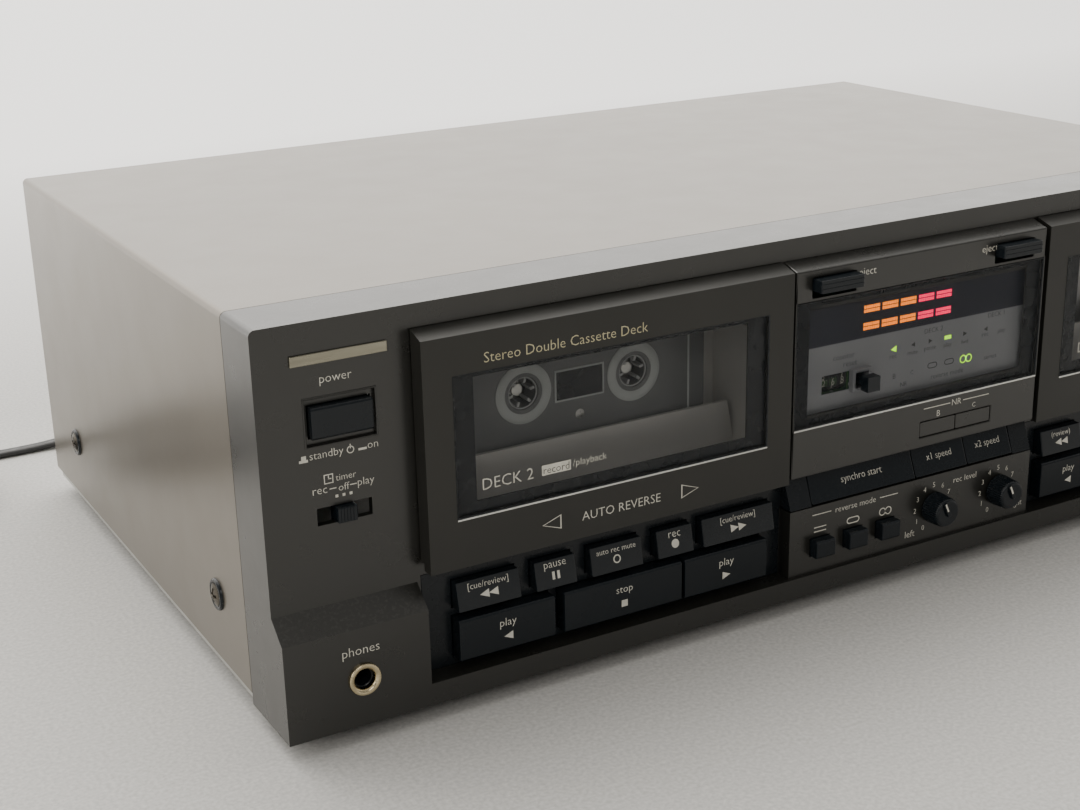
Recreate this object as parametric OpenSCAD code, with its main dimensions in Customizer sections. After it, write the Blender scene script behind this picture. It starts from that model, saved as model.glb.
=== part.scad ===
// Stereo double cassette deck, in millimetres.
// X runs to the right, Y runs from the front panel to the rear, Z is up.
// The origin is at the middle of the footprint, on the surface that the feet stand on.
// Sub-parts are drawn in the panel frame, whose Y = 0 is the front panel and whose Z = 0 is its
// lower edge; place() moves them into the part's own frame.

/* [Casing] */
// Overall width of the casing
casing_w = 430; // [426:1:520]
// Depth from the front panel to the rear edge of the cover
casing_d = 260; // [215:1:400]
// Height from the lower edge of the front panel to the top of the cover
casing_h = 130; // [128:1:160]
// Height of the feet
foot_h = 6; // [4:0.5:12]
// Radius of the feet
foot_r = 12; // [8:0.5:18]
// Thickness of the sheet steel
sheet_t = 1; // [0.8:0.1:1.5]
// Radius of the upper corners of the casing
corner_r = 2; // [1.6:0.1:4]
// Wall of the moulded front panel
panel_t = 2.5; // [2:0.1:3]
// Depth of the front panel's flange over the top and the sides
bezel_d = 23.5; // [18:0.5:26]
// Height of the cover's lower edge above the front panel's lower edge
cover_lift = 4; // [2:0.5:8]

/* [Front layout] */
// Width of the column left of the cassette doors
column_w = 50; // [48:0.5:60]
// Width of the right-hand cassette door
door_1_w = 119.2; // [117:0.1:121]
// Width of the left-hand cassette door
door_2_w = 138.4; // [128:0.1:139]
// Width of the centre fascia
fascia_w = 114.2; // [113:0.1:115]
// Gap between the left door and the centre fascia
left_gap = 0.8; // [0.5:0.1:1.5]
// Gap between the centre fascia and the right door
right_gap = 2; // [1:0.1:3]
// How far the doors, the fascia and the apron stand in front of the panel
front_out = 7.5; // [6.5:0.1:9]
// How far the knob panel stands in front of the panel
knob_panel_out = 6; // [5:0.1:6.4]
// Height of the apron
apron_h = 7.5; // [6:0.1:7.5]
// Height of the lower left block's front face
block_h = 33.3; // [28:0.1:36]
// Height of the top of the block's slope
block_top = 40; // [38:0.1:44]

/* [Cassette doors] */
// Height of the doors' lower edge
door_bottom = 44.5; // [44:0.1:45.5]
// Wall of the doors and of the fascia
door_t = 2.5; // [2:0.1:3]
// Height of the sloping top edge of the doors
door_bevel = 2.3; // [1.5:0.1:3]
// Width that a window leaves on each side of its door
window_side = 10; // [8:0.1:12]
// Height of the windows
window_h = 46.5; // [42:0.1:48]
// Height of the windows' lower edge
window_bottom = 61; // [59:0.1:64]
// Thickness of the windows
window_t = 1.4; // [1:0.1:1.8]
// Black border around the clear area of a window
window_border = 7.5; // [5:0.1:9]
// Radius of the door's hinge pins
hinge_r = 1.5; // [1.2:0.05:1.8]

/* [Cassette] */
// Width of the cassette
cassette_w = 100.4; // [100:0.1:101]
// Height of the cassette
cassette_h = 63.8; // [63:0.1:64]
// Thickness of the cassette
cassette_t = 8.7; // [8.4:0.1:9]
// Distance between the cassette's hubs
hub_pitch = 42.5; // [42:0.1:43]
// Radius of the opening in a hub
hub_r = 4.9; // [4.7:0.05:5.2]

/* [Mechanism] */
// Radius of the reel spindles' shafts
spindle_r = 1.5; // [1.2:0.05:1.8]
// Radius of the capstans
capstan_r = 1.2; // [1:0.05:1.5]
// Radius of the flywheels
flywheel_r = 19; // [15:0.5:20]
// Lift of the head plates
head_lift = 4; // [3:0.5:4]
// Running clearance of shafts in their bores
run_gap = 0.05; // [0.02:0.01:0.1]

/* [Controls] */
// Clearance around keys and levers
key_gap = 0.3; // [0.2:0.05:0.4]
// How far the function keys stand in front of the panel
key_out = 5; // [4:0.1:6]
// Radius of the level knobs
knob_r = 6; // [5:0.1:7]
// Length of the level knobs
knob_len = 9; // [7:0.1:12]
// Width of the power button
power_w = 20; // [16:0.1:22]
// Height of the power button
power_h = 10; // [8:0.1:12]
// Travel of the timer slider to each side
timer_travel = 5.5; // [4:0.1:6]

/* [Sockets and lead] */
// Radius of the headphone socket's bore
phones_r = 3.25; // [3.2:0.01:3.3]
// Radius of the line sockets' barrels
line_r = 4.15; // [4.1:0.01:4.2]
// How far the line sockets reach past the cover's rear edge
line_len = 7; // [6:0.1:9]
// Width of the flat mains cord
cord_w = 6; // [5:0.1:7]
// Thickness of the flat mains cord
cord_t = 3.3; // [3:0.1:3.6]

/* [Hidden] */
$fn = 48;
eps = 0.01;
seat = 0.2;  // gap left where one piece rests on or against another
over = 1;  // how far a cut runs past the faces that it opens
ease = 0.3;  // extra radius of a hole that a screw passes through freely
press_gap = 0.1;  // extra radius of a hole that holds a socket or the strain relief

// colours
steel_grey = [0.36, 0.34, 0.31];
charcoal = [0.19, 0.18, 0.17];
gloss_black = [0.06, 0.08, 0.10];
smoke = [0.15, 0.16, 0.17, 0.5];
zinc = [0.70, 0.70, 0.68];
chrome_silver = [0.85, 0.84, 0.80];
board_green = [0.10, 0.30, 0.18];
cord_black = [0.05, 0.05, 0.05];
lip_grey = [0.42, 0.42, 0.40];

// places along X
left_x = -casing_w / 2;
right_x = casing_w / 2;
door_2_x = left_x + column_w;
fascia_x = door_2_x + door_2_w + left_gap;
door_1_x = fascia_x + fascia_w + right_gap;
door_1_end = door_1_x + door_1_w;
deck_w = [door_1_w, door_2_w];
deck_x = [door_1_x + door_1_w / 2, door_2_x + door_2_w / 2];
block_end = door_2_x - 1.4;
right_block_x = door_1_end + 0.4;

// places along Y: the footprint is centred between the knobs and the line sockets
knob_front = knob_panel_out + knob_len;
front_y = -(casing_d + line_len - knob_front) / 2;
rear_in = casing_d - 2.4;
rear_out = rear_in + 1.4;

// heights
door_top = casing_h - 7.5 - door_bevel;
tray_z = apron_h + 0.3;
tray_top = 41.7;
band_z = 33.3;
band_top = 45.3;
knob_panel_top = band_z - 0.4;
bay_z = door_bottom + 0.1;
bay_top = door_top + door_bevel - 0.7;
fascia_z = 46;
display_z = 64;
display_h = 45;
display_ledge = [4, 3.5];  // below and above the display's clear area
glass_gap = 0.1;  // gap between a window and the recess that it lies in

// the cassette in its holder
hinge_y = 6;
hinge_z = 46.5;
cassette_z = 53;
cassette_y = 17.5;
hub_z = cassette_z + 35;
thick_out = 1.65;  // how far the head end of a cassette stands proud on each face
thick_h = 14;
head_slot_h = head_lift + 1.5;
head_slot_w = 62;
head_w = 60;
holder_t = 1.5;
holder_rear = 27.5;
holder_top = 100;
lip_y = cassette_y - thick_out - seat - holder_t;
lip_top = 71.5;
shelf_z = cassette_z - seat - 2;
shelf_in = head_slot_w / 2 + 1;
function holder_half(d) = max(deck_w[d] / 2 - 7.25, cassette_w / 2 + 0.6 + holder_t);
ear_r = 3.2;
ear_t = 3;
ear_gap = 0.4;

// mechanism, behind the holders
frame_y = 29;
frame_t = 2;
frame_z = sheet_t * 2 + seat;
frame_top = casing_h - 12;
capstan_x = -23;
capstan_z = cassette_z + 9;
motor_x = 27;
motor_z = 26;
motor_r = 16;
motor_len = 24;
reel_r = 10.5;

// keys: [offset from the door's left edge, width]
upper_z = 28;
upper_h = 9.5;
lower_z = 10.5;
lower_h = 14.5;
upper_2 = [[10.4, 22.7], [38.8, 15.3], [59.9, 20], [86, 14.4], [104.6, 29.9]];
lower_2 = [[10.2, 35.3], [49, 46.5], [96.7, 34.7]];
upper_1 = [[7.6, 21], [90.6, 21]];
lower_1 = [[7.6, 29.4], [38.5, 42.2], [82.2, 29.4]];

// the band of keys over the knob panel: [offset from the fascia's left edge, width]
band_keys = [[11.1, 47.4], [59, 24.8], [84.3, 22]];
band_out = 6;
band_lean = 4.6;
band_side = 0.4;  // gap between the band's end blocks and its keys

// controls on the centre fascia and on the knob panel, offsets from the fascia's left edge
eject_w = 18.4;
eject_h = 4.5;
eject_z = casing_h - 15;
eject_drop = 2.2;
eject_out = 4.5;
eject_x = [fascia_x + 98.8, fascia_x + 16.3];
nr_x = fascia_x + 58.1;
nr_z = 50.2;
nr_w = 16.7;
nr_h = 5.4;
nr_apart = 0.4;
reset_x = fascia_x + 31.6;
reset_z = 76.6;
reset_w = 5.4;
reset_y = [-12, -8.2];
reset_stem_r = 2.2;
reverse_x = [fascia_x + 14.8, fascia_x + 29.8, fascia_x + 44.8];
reverse_z = 17.5;
reverse_w = 8.4;
reverse_h = 6.6;
reverse_out = 4;  // how far the reverse keys stand in front of the knob panel
knob_x = [fascia_x + 67.8, fascia_x + 99.8];
knob_z = 20.5;
shaft_r = 2.9;
knob_gap = 0.4;  // gap between a knob and the knob panel
knob_taper = 0.6;
pointer_t = 0.8;
pointer_turn = 25;  // degrees anticlockwise of straight up, seen from the front

// left column
power_x = left_x + 26.5;
power_z = casing_h - 31;
timer_w = 6.4;
timer_h = 5;
timer_lip_h = 8;
timer_out = 2.5;
power_out = 1.8;
recess_w = 2.8;  // how much wider than the power button its recess is
recess_h = 4.8;  // how much higher
recess_d = 1.2;
timer_x = left_x + 26;
timer_z = casing_h - 61;
phones_x = left_x + 25.8;
phones_z = 16;
phones_body_r = 4.6;

// tape counter
counter_x = fascia_x + 14.8;
counter_w = 14;
counter_h = 11;
counter_wall = 0.8;
wheel_r = 4;
wheel_w = 3.8;
wheel_pitch = 4.1;
axle_r = 0.8;
wheel_y = 2.4;

// sheet metal
seam = 0.3;  // gap between the front panel's flange and the cover
floor_z = sheet_t - 0.4;  // underside of the chassis floor
flap_over_screw = 7;
board_z = 9;
board_t = 1.6;
standoff_x = [-90, 50, 190];
standoff_y = [85, casing_d - 30];
standoff_r = 3;
vents = 12;
vent_x = -60;
vent_pitch = 8;
vent_w = 3;
vent_z = [80, 108];
foot_inset = 35;
foot_front = 48;

// screws and sockets
screw_y = [50, casing_d - 41];
screw_z = 28;
screw_r = 1.9;
screw_head_r = 5.5;
screw_head_t = 1.8;
screw_len = 6;
line_x = [130, 148];
line_z = [40, 56];
line_pin_r = 1.6;
line_pin_depth = 7;
line_nut = 0.8;  // how far a socket's nut stands out round its barrel
line_ease = 1;  // extra radius of the rear panel's holes round the line sockets
line_block = 9;  // how far the sockets' block reaches past their centres
relief_x = -140;
relief_z = 24;
relief_len = 18;
relief_r = 5;
relief_flange_r = 7.5;
relief_flange = [0.1, 2.5];
relief_taper = [5.6, 3.9];

// route of the mains cord, in the part's own frame: out of the strain relief, down to the surface
// and along it to the coil
cord_z = cord_t / 2 + 0.05;
lead_route = [[-140, 152, 30], [-140, 157, 30], [-141, 165, 28.4], [-144, 172, 25.5],
    [-148, 178, 22.5], [-154, 182, 19], [-161, 185, 15.5], [-168, 186, 12], [-176, 186, 8.8],
    [-184, 186, 6], [-192, 186, 4], [-200, 186, 2.7], [-208, 186, 2], [-218, 186, cord_z],
    [-230, 186, cord_z], [-245, 186, cord_z], [-260, 186, cord_z], [-272, 186, cord_z]];
tail_route = [[-321, 137, 11.4], [-321, 132, 10.6], [-321, 126, 9.2], [-321, 118, 7.5],
    [-321, 112, 7.5]];
coil_at = [-285, 150];
coil_radii = [30, 36];
coil_layers = 4;
cord_sides = 10;
plug_at = [-321, 112, 7.5];
plug_w = 23;
plug_len = 28;
blade_pitch = 12.7;
blade_t = 1.5;
blade_w = 6.4;
blade_len = 17;

// ---- shared shapes ----

module place() translate([0, front_y, foot_h]) children();

module slab(x, y, z) translate([x[0], y[0], z[0]]) cube([x[1] - x[0], y[1] - y[0], z[1] - z[0]]);

module rod_y(x, z, r, y) translate([x, y[0], z]) rotate([-90, 0, 0]) cylinder(r = r, h = y[1] - y[0]);

module rod_x(y, z, r, x) translate([x[0], y, z]) rotate([0, 90, 0]) cylinder(r = r, h = x[1] - x[0]);

// a (Y, Z) outline carried along X
module run_x(x, outline) translate([x[0], 0, 0]) rotate([90, 0, 90])
    linear_extrude(height = x[1] - x[0]) polygon(outline);

// a (X, Z) outline carried along Y
module run_y(y, outline) translate([0, y[1], 0]) rotate([90, 0, 0])
    linear_extrude(height = y[1] - y[0]) polygon(outline);

// a box along Y with two rounded upper corners
module arch(w, z, r, y) translate([0, y[1], 0]) rotate([90, 0, 0]) linear_extrude(height = y[1] - y[0])
    union() {
        translate([-w / 2, z[0]]) square([w, z[1] - z[0] - r]);
        translate([-w / 2 + r, z[0]]) square([w - 2 * r, z[1] - z[0]]);
        for (side = [-1, 1]) translate([side * (w / 2 - r), z[1] - r]) circle(r = r);
    }

// a push key: a block with chamfered front edges and a retaining lip above and below
module push_key(x, z, front, back, lip) {
    c = 0.6;
    run_x(x, [[back, z[0]], [-front + c, z[0]], [-front, z[0] + c], [-front, z[1] - c],
        [-front + c, z[1]], [back, z[1]]]);
    slab(x, [back - lip_t, back], [z[0] - lip, z[1] + lip]);
}

// a key whose front face leans back towards its top
module leaning_key(x, z, front, lean, back, lip) {
    run_x(x, [[back, z[0]], [-front, z[0]], [-front + lean, z[1]], [back, z[1]]]);
    slab(x, [back - lip_t, back], [z[0] - lip, z[1] + lip]);
}

function span(start, pair) = [start + pair[0], start + pair[0] + pair[1]];
function grow(s, by) = [s[0] - by, s[1] + by];
function about(c, w) = [c - w / 2, c + w / 2];

lip_t = 1;
lip_over = 0.9;
bezel_y = [0.2, 1.8];
bezel_gap = 0.25;
knob_panel_x = [fascia_x + 1.2, door_1_x - 0.4];
block_outline = [[eps, 0], [-front_out, 0], [-front_out, block_h], [0, block_top], [eps, block_top]];
bay_in = 1.5;  // how far a bay's opening lies inside its door's edges
fascia_in = 4;
fascia_bay_z = [fascia_z + 3, door_top - 2];
cut_y = [-over, panel_t + over];
key_back = panel_t + seat + lip_t;
fascia_back = -front_out + door_t;
fascia_lip = [fascia_back + 0.3, fascia_back + 0.3 + lip_t];
window_y = [-front_out + glass_gap, -front_out + glass_gap + window_t];
function upper_span() = [upper_z, upper_z + upper_h];
function lower_span() = [lower_z, lower_z + lower_h];
function band_span() = [band_z + 0.5, band_top - 0.3];

// ---- casing ----

module top_cover() place() color(steel_grey) difference() {
    arch(casing_w, [cover_lift, casing_h], corner_r, [bezel_d + seam, casing_d]);
    arch(casing_w - 2 * sheet_t, [cover_lift - over, casing_h - sheet_t], corner_r - sheet_t / 2,
        [bezel_d - over, casing_d + over]);
    for (y = screw_y) rod_x(y, screw_z, screw_r + ease, [left_x - over, right_x + over]);
}

module bottom_chassis() place() color(zinc) {
    floor_x = [left_x + sheet_t + seat, right_x - sheet_t - seat];
    floor_y = [bezel_d + seam, rear_in - seat];
    difference() {
        union() {
            slab(floor_x, floor_y, [floor_z, 2 * sheet_t]);
            for (x = [floor_x[0], floor_x[1] - sheet_t])
                slab([x, x + sheet_t], floor_y, [floor_z, screw_z + flap_over_screw]);
            for (x = standoff_x, y = standoff_y)
                translate([x, y, sheet_t]) cylinder(r = standoff_r, h = board_z - sheet_t - seat);
        }
        for (y = screw_y) rod_x(y, screw_z, screw_r + run_gap, [left_x - over, right_x + over]);
    }
}

module rear_panel() place() color(zinc) difference() {
    arch(casing_w - 2 * (sheet_t + seat), [2 * sheet_t + seat, casing_h - sheet_t - seat],
        corner_r - sheet_t / 2, [rear_in, rear_out]);
    for (x = line_x, z = line_z) rod_y(x, z, line_r + line_ease, grow([rear_in, rear_out], over));
    rod_y(relief_x, relief_z, relief_r + press_gap, grow([rear_in, rear_out], over));
    for (i = [0:vents - 1])
        slab(about(vent_x + vent_pitch * i, vent_w), grow([rear_in, rear_out], over), vent_z);
}

module feet() place() color(cord_black)
    for (x = [left_x + foot_inset, right_x - foot_inset], y = [foot_front, casing_d - foot_inset])
        translate([x, y, -foot_h]) cylinder(r = foot_r, h = foot_h + floor_z);

module cover_screws() place() color(gloss_black)
    for (side = [-1, 1], y = screw_y) {
        head = side < 0 ? [left_x - screw_head_t, left_x] : [right_x, right_x + screw_head_t];
        shank = side < 0 ? [left_x - eps, left_x + screw_len] : [right_x - screw_len, right_x + eps];
        rod_x(y, screw_z, screw_head_r, head);
        rod_x(y, screw_z, screw_r, shank);
    }

// ---- front ----

module front_panel() place() color(charcoal) difference() {
    union() {
        difference() {
            arch(casing_w, [0, casing_h], corner_r, [0, bezel_d]);
            slab([left_x + panel_t, right_x - panel_t], [panel_t, bezel_d + over],
                [panel_t, casing_h - panel_t]);
        }
        run_x([left_x, block_end], block_outline);
        run_x([right_block_x, right_x], block_outline);
        slab([left_x, right_x], [-front_out, eps], [0, apron_h]);
        slab(knob_panel_x, [-knob_panel_out, panel_t], [apron_h, knob_panel_top]);
    }
    for (d = [0, 1]) slab(about(deck_x[d], deck_w[d] - 2 * bay_in), cut_y, [bay_z, bay_top]);
    slab(grow([fascia_x, fascia_x + fascia_w], -fascia_in), cut_y, fascia_bay_z);
    key_bezel_outline(bezel_gap, cut_y);
    slab(about(power_x, power_w + 2 * key_gap), cut_y, about(power_z, power_h + 2 * key_gap));
    slab(about(power_x, power_w + recess_w), [-over, recess_d], about(power_z, power_h + recess_h));
    slab(about(timer_x, 2 * timer_travel + timer_w + 2 * key_gap), cut_y,
        about(timer_z, timer_h + 2 * key_gap));
    rod_y(phones_x, phones_z, phones_body_r + press_gap, [-front_out - over, panel_t + over]);
    for (x = reverse_x)
        slab(about(x, reverse_w + 2 * key_gap), [-front_out, panel_t + over],
            about(reverse_z, reverse_h + 2 * key_gap));
    for (x = knob_x) rod_y(x, knob_z, shaft_r + run_gap, [-front_out, panel_t + over]);
}

// the outline that the key bezel fills and that the front panel leaves open
module key_bezel_outline(by, y) {
    slab([door_2_x + 0.1 - by, fascia_x + 1], y, [tray_z - by, tray_top + by]);
    slab([door_1_x - 0.2, door_1_end + by], y, [tray_z - by, tray_top + by]);
    slab([fascia_x + 1 - eps, door_1_x - 0.2 + eps], y, [band_z - by, band_top + by]);
}

module key_bezel() place() color(gloss_black) difference() {
    union() {
        key_bezel_outline(0, bezel_y);
        for (x = [[fascia_x + 1.4, fascia_x + band_keys[0][0] - band_side],
                [fascia_x + band_keys[2][0] + band_keys[2][1] + band_side, door_1_x - 0.6]])
            run_x(x, [[bezel_y[1], band_z], [-band_out, band_z], [-band_out + band_lean, band_top],
                [bezel_y[1], band_top]]);
    }
    for (k = upper_2) key_opening(door_2_x, k, upper_span());
    for (k = lower_2) key_opening(door_2_x, k, lower_span());
    for (k = upper_1) key_opening(door_1_x, k, upper_span());
    for (k = lower_1) key_opening(door_1_x, k, lower_span());
    for (k = band_keys) key_opening(fascia_x, k, band_span());
}

module key_opening(start, k, z)
    slab(grow(span(start, k), key_gap), [-over, bezel_y[1] + over], grow(z, key_gap));

module centre_fascia() place() color(charcoal) {
    x = [fascia_x, fascia_x + fascia_w];
    difference() {
        run_x(x, [[-0.1, fascia_z], [-front_out, fascia_z], [-front_out, door_top],
            [-0.1, door_top + door_bevel]]);
        slab(grow(x, -door_t), [-front_out + door_t, 1], [fascia_z + door_t, door_top - 0.4]);
        slab(grow(x, -0.5), [-front_out - over, -front_out + window_t + seat],
            [display_z, display_z + display_h]);
        slab(grow(x, -window_border + 0.3), [-front_out - over, over],
            [display_z + display_ledge[0], display_z + display_h - display_ledge[1]]);
        for (e = eject_x) slab(about(e, eject_w + 2 * key_gap), [-front_out - over, over],
            [eject_z - eject_h / 2 - eject_drop - key_gap, eject_z + eject_h / 2 + key_gap]);
        slab([nr_x - key_gap, nr_x + 2 * nr_w + nr_apart + key_gap], [-front_out - over, over],
            grow([nr_z, nr_z + nr_h], key_gap));
    }
}

module display_window() place() color(smoke) difference() {
    slab([fascia_x + 0.6, fascia_x + fascia_w - 0.6], window_y,
        grow([display_z, display_z + display_h], -glass_gap));
    slab(about(reset_x, reset_w + 2 * key_gap), [-front_out - over, over], about(reset_z,
        reset_w + 2 * key_gap));
}

module display_board() place() color(board_green) {
    board_y = [panel_t + seat, panel_t + seat + board_t];
    meter_x = [fascia_x + 31, fascia_x + 75];
    meter_z = [91, 105];
    inside = grow([counter_x, counter_x + counter_w], -counter_wall);
    difference() {
        slab([fascia_x + 2, fascia_x + fascia_w - 2], board_y, [fascia_z + 1, door_top - 1]);
        slab(grow([counter_x, counter_x + counter_w], 0.1), [2, 6], about(reset_z, counter_h + 0.4));
    }
    // level meter block
    slab(meter_x, [1, board_y[0] + eps], meter_z);
    // counter housing, its axle and the two higher number wheels
    difference() {
        slab([counter_x, counter_x + counter_w], [-2.8, 8], about(reset_z, counter_h));
        slab(inside, [-3.8, 8 - counter_wall], about(reset_z, counter_h - 1.8));
    }
    rod_x(wheel_y, reset_z, axle_r, inside);
    for (i = [0, 1]) rod_x(wheel_y, reset_z, wheel_r,
        [counter_x + 1 + i * wheel_pitch, counter_x + 1 + i * wheel_pitch + wheel_w]);
}

module counter_wheel() place() color("white") difference() {
    wheel_x = counter_x + 1 + 2 * wheel_pitch;
    rod_x(wheel_y, reset_z, wheel_r, [wheel_x, wheel_x + wheel_w]);
    rod_x(wheel_y, reset_z, axle_r + run_gap, [wheel_x - 1, wheel_x + wheel_w + 1]);
}

// ---- boards and sockets ----

module main_board() place() color(board_green) {
    board_top = board_z + board_t;
    slab([-100, 195], [70, casing_d - 20], [board_z, board_top]);
    for (i = [0:4]) translate([-60 + 22 * i, casing_d - 55, board_top - eps]) cylinder(r = 7, h = 24);
    slab([40, 120], [casing_d - 60, casing_d - 56], [board_top - eps, 40]);
    for (i = [0:5]) slab(about(-70 + 40 * i, 18), [110, 118], [board_top - eps, board_top + 3]);
    // mains transformer, on the chassis
    slab([-196, -132], [casing_d - 88, casing_d - 34], [2 * sheet_t + seat, 46]);
    slab([-184, -144], [casing_d - 97, casing_d - 25], [8, 40]);
}

module line_sockets() place() color(chrome_silver) {
    difference() {
        slab(grow(line_x, line_block), [rear_in - 9, rear_in - seat], grow(line_z, line_block));
        for (x = line_x, z = line_z) rod_y(x, z, line_pin_r, [rear_in - line_pin_depth, rear_in]);
    }
    for (x = line_x, z = line_z) difference() {
        union() {
            rod_y(x, z, line_r + line_nut, [rear_in - seat - eps, rear_out + seat]);
            rod_y(x, z, line_r, [rear_out + seat - eps, casing_d + line_len]);
        }
        rod_y(x, z, line_pin_r, [rear_in - line_pin_depth, casing_d + line_len + over]);
    }
}

module phones_socket() place() color(chrome_silver) difference() {
    union() {
        rod_y(phones_x, phones_z, phones_body_r, [-front_out - eps, 14]);
        rod_y(phones_x, phones_z, 5.4, [-front_out - 1.2, -front_out]);
    }
    rod_y(phones_x, phones_z, phones_r, [-front_out - 2, 12]);
}

// ---- cassette doors, d is 0 for deck 1 and 1 for deck 2 ----

module cassette_door(d) place() {
    w = deck_w[d];
    cx = deck_x[d];
    half = holder_half(d);
    clear = w / 2 - window_side - window_border;
    color(charcoal) difference() {
        run_x(about(cx, w), [[-0.6, door_bottom], [-front_out, door_bottom], [-front_out, door_top],
            [-0.6, door_top + door_bevel]]);
        slab(about(cx, w - 2 * door_t), [-front_out + door_t, 1],
            [door_bottom + door_t - 0.3, door_top - 0.4]);
        slab(about(cx, w + 2), [-3, 1], [door_bottom - 1, door_bottom + door_t]);
        slab(about(cx, w - 2 * window_side), [-front_out - 1, -front_out + window_t + 0.2],
            [window_bottom, window_bottom + window_h]);
        slab(about(cx, 2 * clear), [-front_out - 1, 1], [window_bottom + 4,
            window_bottom + window_h - 1.5]);
    }
    color(lip_grey) {
        // side walls with their hinge lobes and pins
        for (side = [-1, 1]) {
            wall = side < 0 ? [cx - half, cx - half + holder_t] : [cx + half - holder_t, cx + half];
            pin = side < 0 ? [cx - half - ear_t, cx - half + eps] : [cx + half - eps, cx + half + ear_t];
            slab(wall, [-front_out + door_t + seat, holder_rear], [shelf_z, holder_top]);
            rod_x(hinge_y, hinge_z, 3, wall);
            slab(wall, [hinge_y - 3, hinge_y + 3], [hinge_z, shelf_z + eps]);
            rod_x(hinge_y, hinge_z, hinge_r, pin);
            // shelf and rear guide
            shelf = side < 0 ? [cx - half, cx - shelf_in] : [cx + shelf_in, cx + half];
            slab(shelf, [lip_y, holder_rear], [shelf_z, shelf_z + 2]);
            guide = side < 0 ? [cx - half, cx - cassette_w / 2 + 6] : [cx + cassette_w / 2 - 6, cx + half];
            slab(guide, [holder_rear - 1, holder_rear], [shelf_z, 95]);
        }
        run_y([lip_y, lip_y + holder_t], [[cx - half, shelf_z], [cx + half, shelf_z],
            [cx + half - 4, lip_top], [cx - half + 4, lip_top]]);
    }
}

module door_window(d) place() color(smoke)
    slab(about(deck_x[d], deck_w[d] - 2 * window_side - 2 * glass_gap), window_y,
        grow([window_bottom, window_bottom + window_h], -glass_gap));

module cassette() place() color(lip_grey) {
    cx = deck_x[1];
    y = [cassette_y, cassette_y + cassette_t];
    hubs = [cx - hub_pitch / 2, cx + hub_pitch / 2];
    difference() {
        union() {
            slab(about(cx, cassette_w), y, [cassette_z, cassette_z + cassette_h]);
            run_y(grow(y, thick_out), [[cx - 35, cassette_z], [cx + 35, cassette_z],
                [cx + 32, cassette_z + thick_h], [cx - 32, cassette_z + thick_h]]);
        }
        for (x = hubs) rod_y(x, hub_z, hub_r + 0.6, grow(y, 1));
        slab(about(cx, head_slot_w), grow(y, 0.1), [cassette_z - 1, cassette_z + head_slot_h]);
    }
    for (x = hubs) difference() {
        rod_y(x, hub_z, hub_r + 0.45, grow(y, -0.8));
        rod_y(x, hub_z, hub_r, grow(y, 1));
    }
}

// ---- tape mechanisms ----

module mechanism_frames() place() for (d = [0, 1]) {
    cx = deck_x[d];
    half = holder_half(d);
    hubs = [cx - hub_pitch / 2, cx + hub_pitch / 2];
    color(zinc) difference() {
        union() {
            slab(about(cx, 2 * (half + ear_gap + ear_t)), [frame_y, frame_y + frame_t], [frame_z,
                frame_top]);
            slab(about(cx, 2 * half), [frame_y, frame_y + 12], [frame_z, frame_z + 1.5]);
            for (side = [-1, 1]) {
                ear = side < 0 ? [cx - half - ear_gap - ear_t, cx - half - ear_gap]
                    : [cx + half + ear_gap, cx + half + ear_gap + ear_t];
                slab(ear, [hinge_y, frame_y + eps], about(hinge_z, 5));
                rod_x(hinge_y, hinge_z, ear_r, ear);
            }
        }
        for (x = hubs) rod_y(x, hub_z, spindle_r + run_gap, [frame_y - 1, frame_y + frame_t + 1]);
        rod_y(cx + capstan_x, capstan_z, capstan_r + run_gap, [frame_y - 1, frame_y + frame_t + 1]);
        rod_x(hinge_y, hinge_z, hinge_r + run_gap, about(cx, 2 * half + 20));
    }
    color(chrome_silver) rod_y(cx + motor_x, motor_z, motor_r,
        [frame_y + frame_t + seat, frame_y + frame_t + seat + motor_len]);
}

module spindle(d, side) place() color(zinc) {
    x = deck_x[d] + side * hub_pitch / 2;
    tip_y = cassette_y + cassette_t - 4.2;
    rod_y(x, hub_z, spindle_r, [frame_y - 2, frame_y + frame_t + 2.4]);
    rod_y(x, hub_z, 4.5, [frame_y - 2, frame_y - 0.4]);
    rod_y(x, hub_z, 2, [tip_y, frame_y - 2 + eps]);
    for (a = [0, 120, 240]) translate([x, tip_y + 1, hub_z]) rotate([0, a, 0])
        translate([-0.4, 0, 0]) cube([0.8, frame_y - 3 - tip_y + eps, 2.5]);
    rod_y(x, hub_z, reel_r, [frame_y + frame_t + 0.4, frame_y + frame_t + 2.4]);
}

module flywheel(d) place() color(zinc) {
    x = deck_x[d] + capstan_x;
    rod_y(x, capstan_z, capstan_r, [frame_y - 0.6, frame_y + frame_t + 9]);
    rod_y(x, capstan_z, flywheel_r, [frame_y + frame_t + 3, frame_y + frame_t + 7.5]);
}

module head_plate(d) place() color(zinc) {
    cx = deck_x[d];
    head_y = [cassette_y + 1.9, cassette_y + 6.9];
    head_top = cassette_z - 0.7;
    slab(about(cx, head_w), [frame_y - 1.8, frame_y - 0.3], [36, cassette_z - 5]);
    slab(about(cx, 14), head_y, [40, head_top]);
    slab(about(cx, 50), [head_y[0], frame_y - 1.8 + eps], [40, 42]);
    for (side = [-1, 1]) rod_y(cx + side * 23, 47, 4, head_y);
    for (side = [-1, 1]) slab(about(cx + side * 23, 3), head_y, [41, 44]);
}

// ---- controls ----

module power_button() place() color(gloss_black)
    push_key(about(power_x, power_w), about(power_z, power_h), power_out, key_back, lip_over);

module timer_slider() place() color(gloss_black) {
    slab(about(timer_x, timer_w), [-timer_out, key_back], about(timer_z, timer_h));
    slab(about(timer_x, timer_w), [key_back - lip_t, key_back], about(timer_z, timer_lip_h));
}

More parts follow.
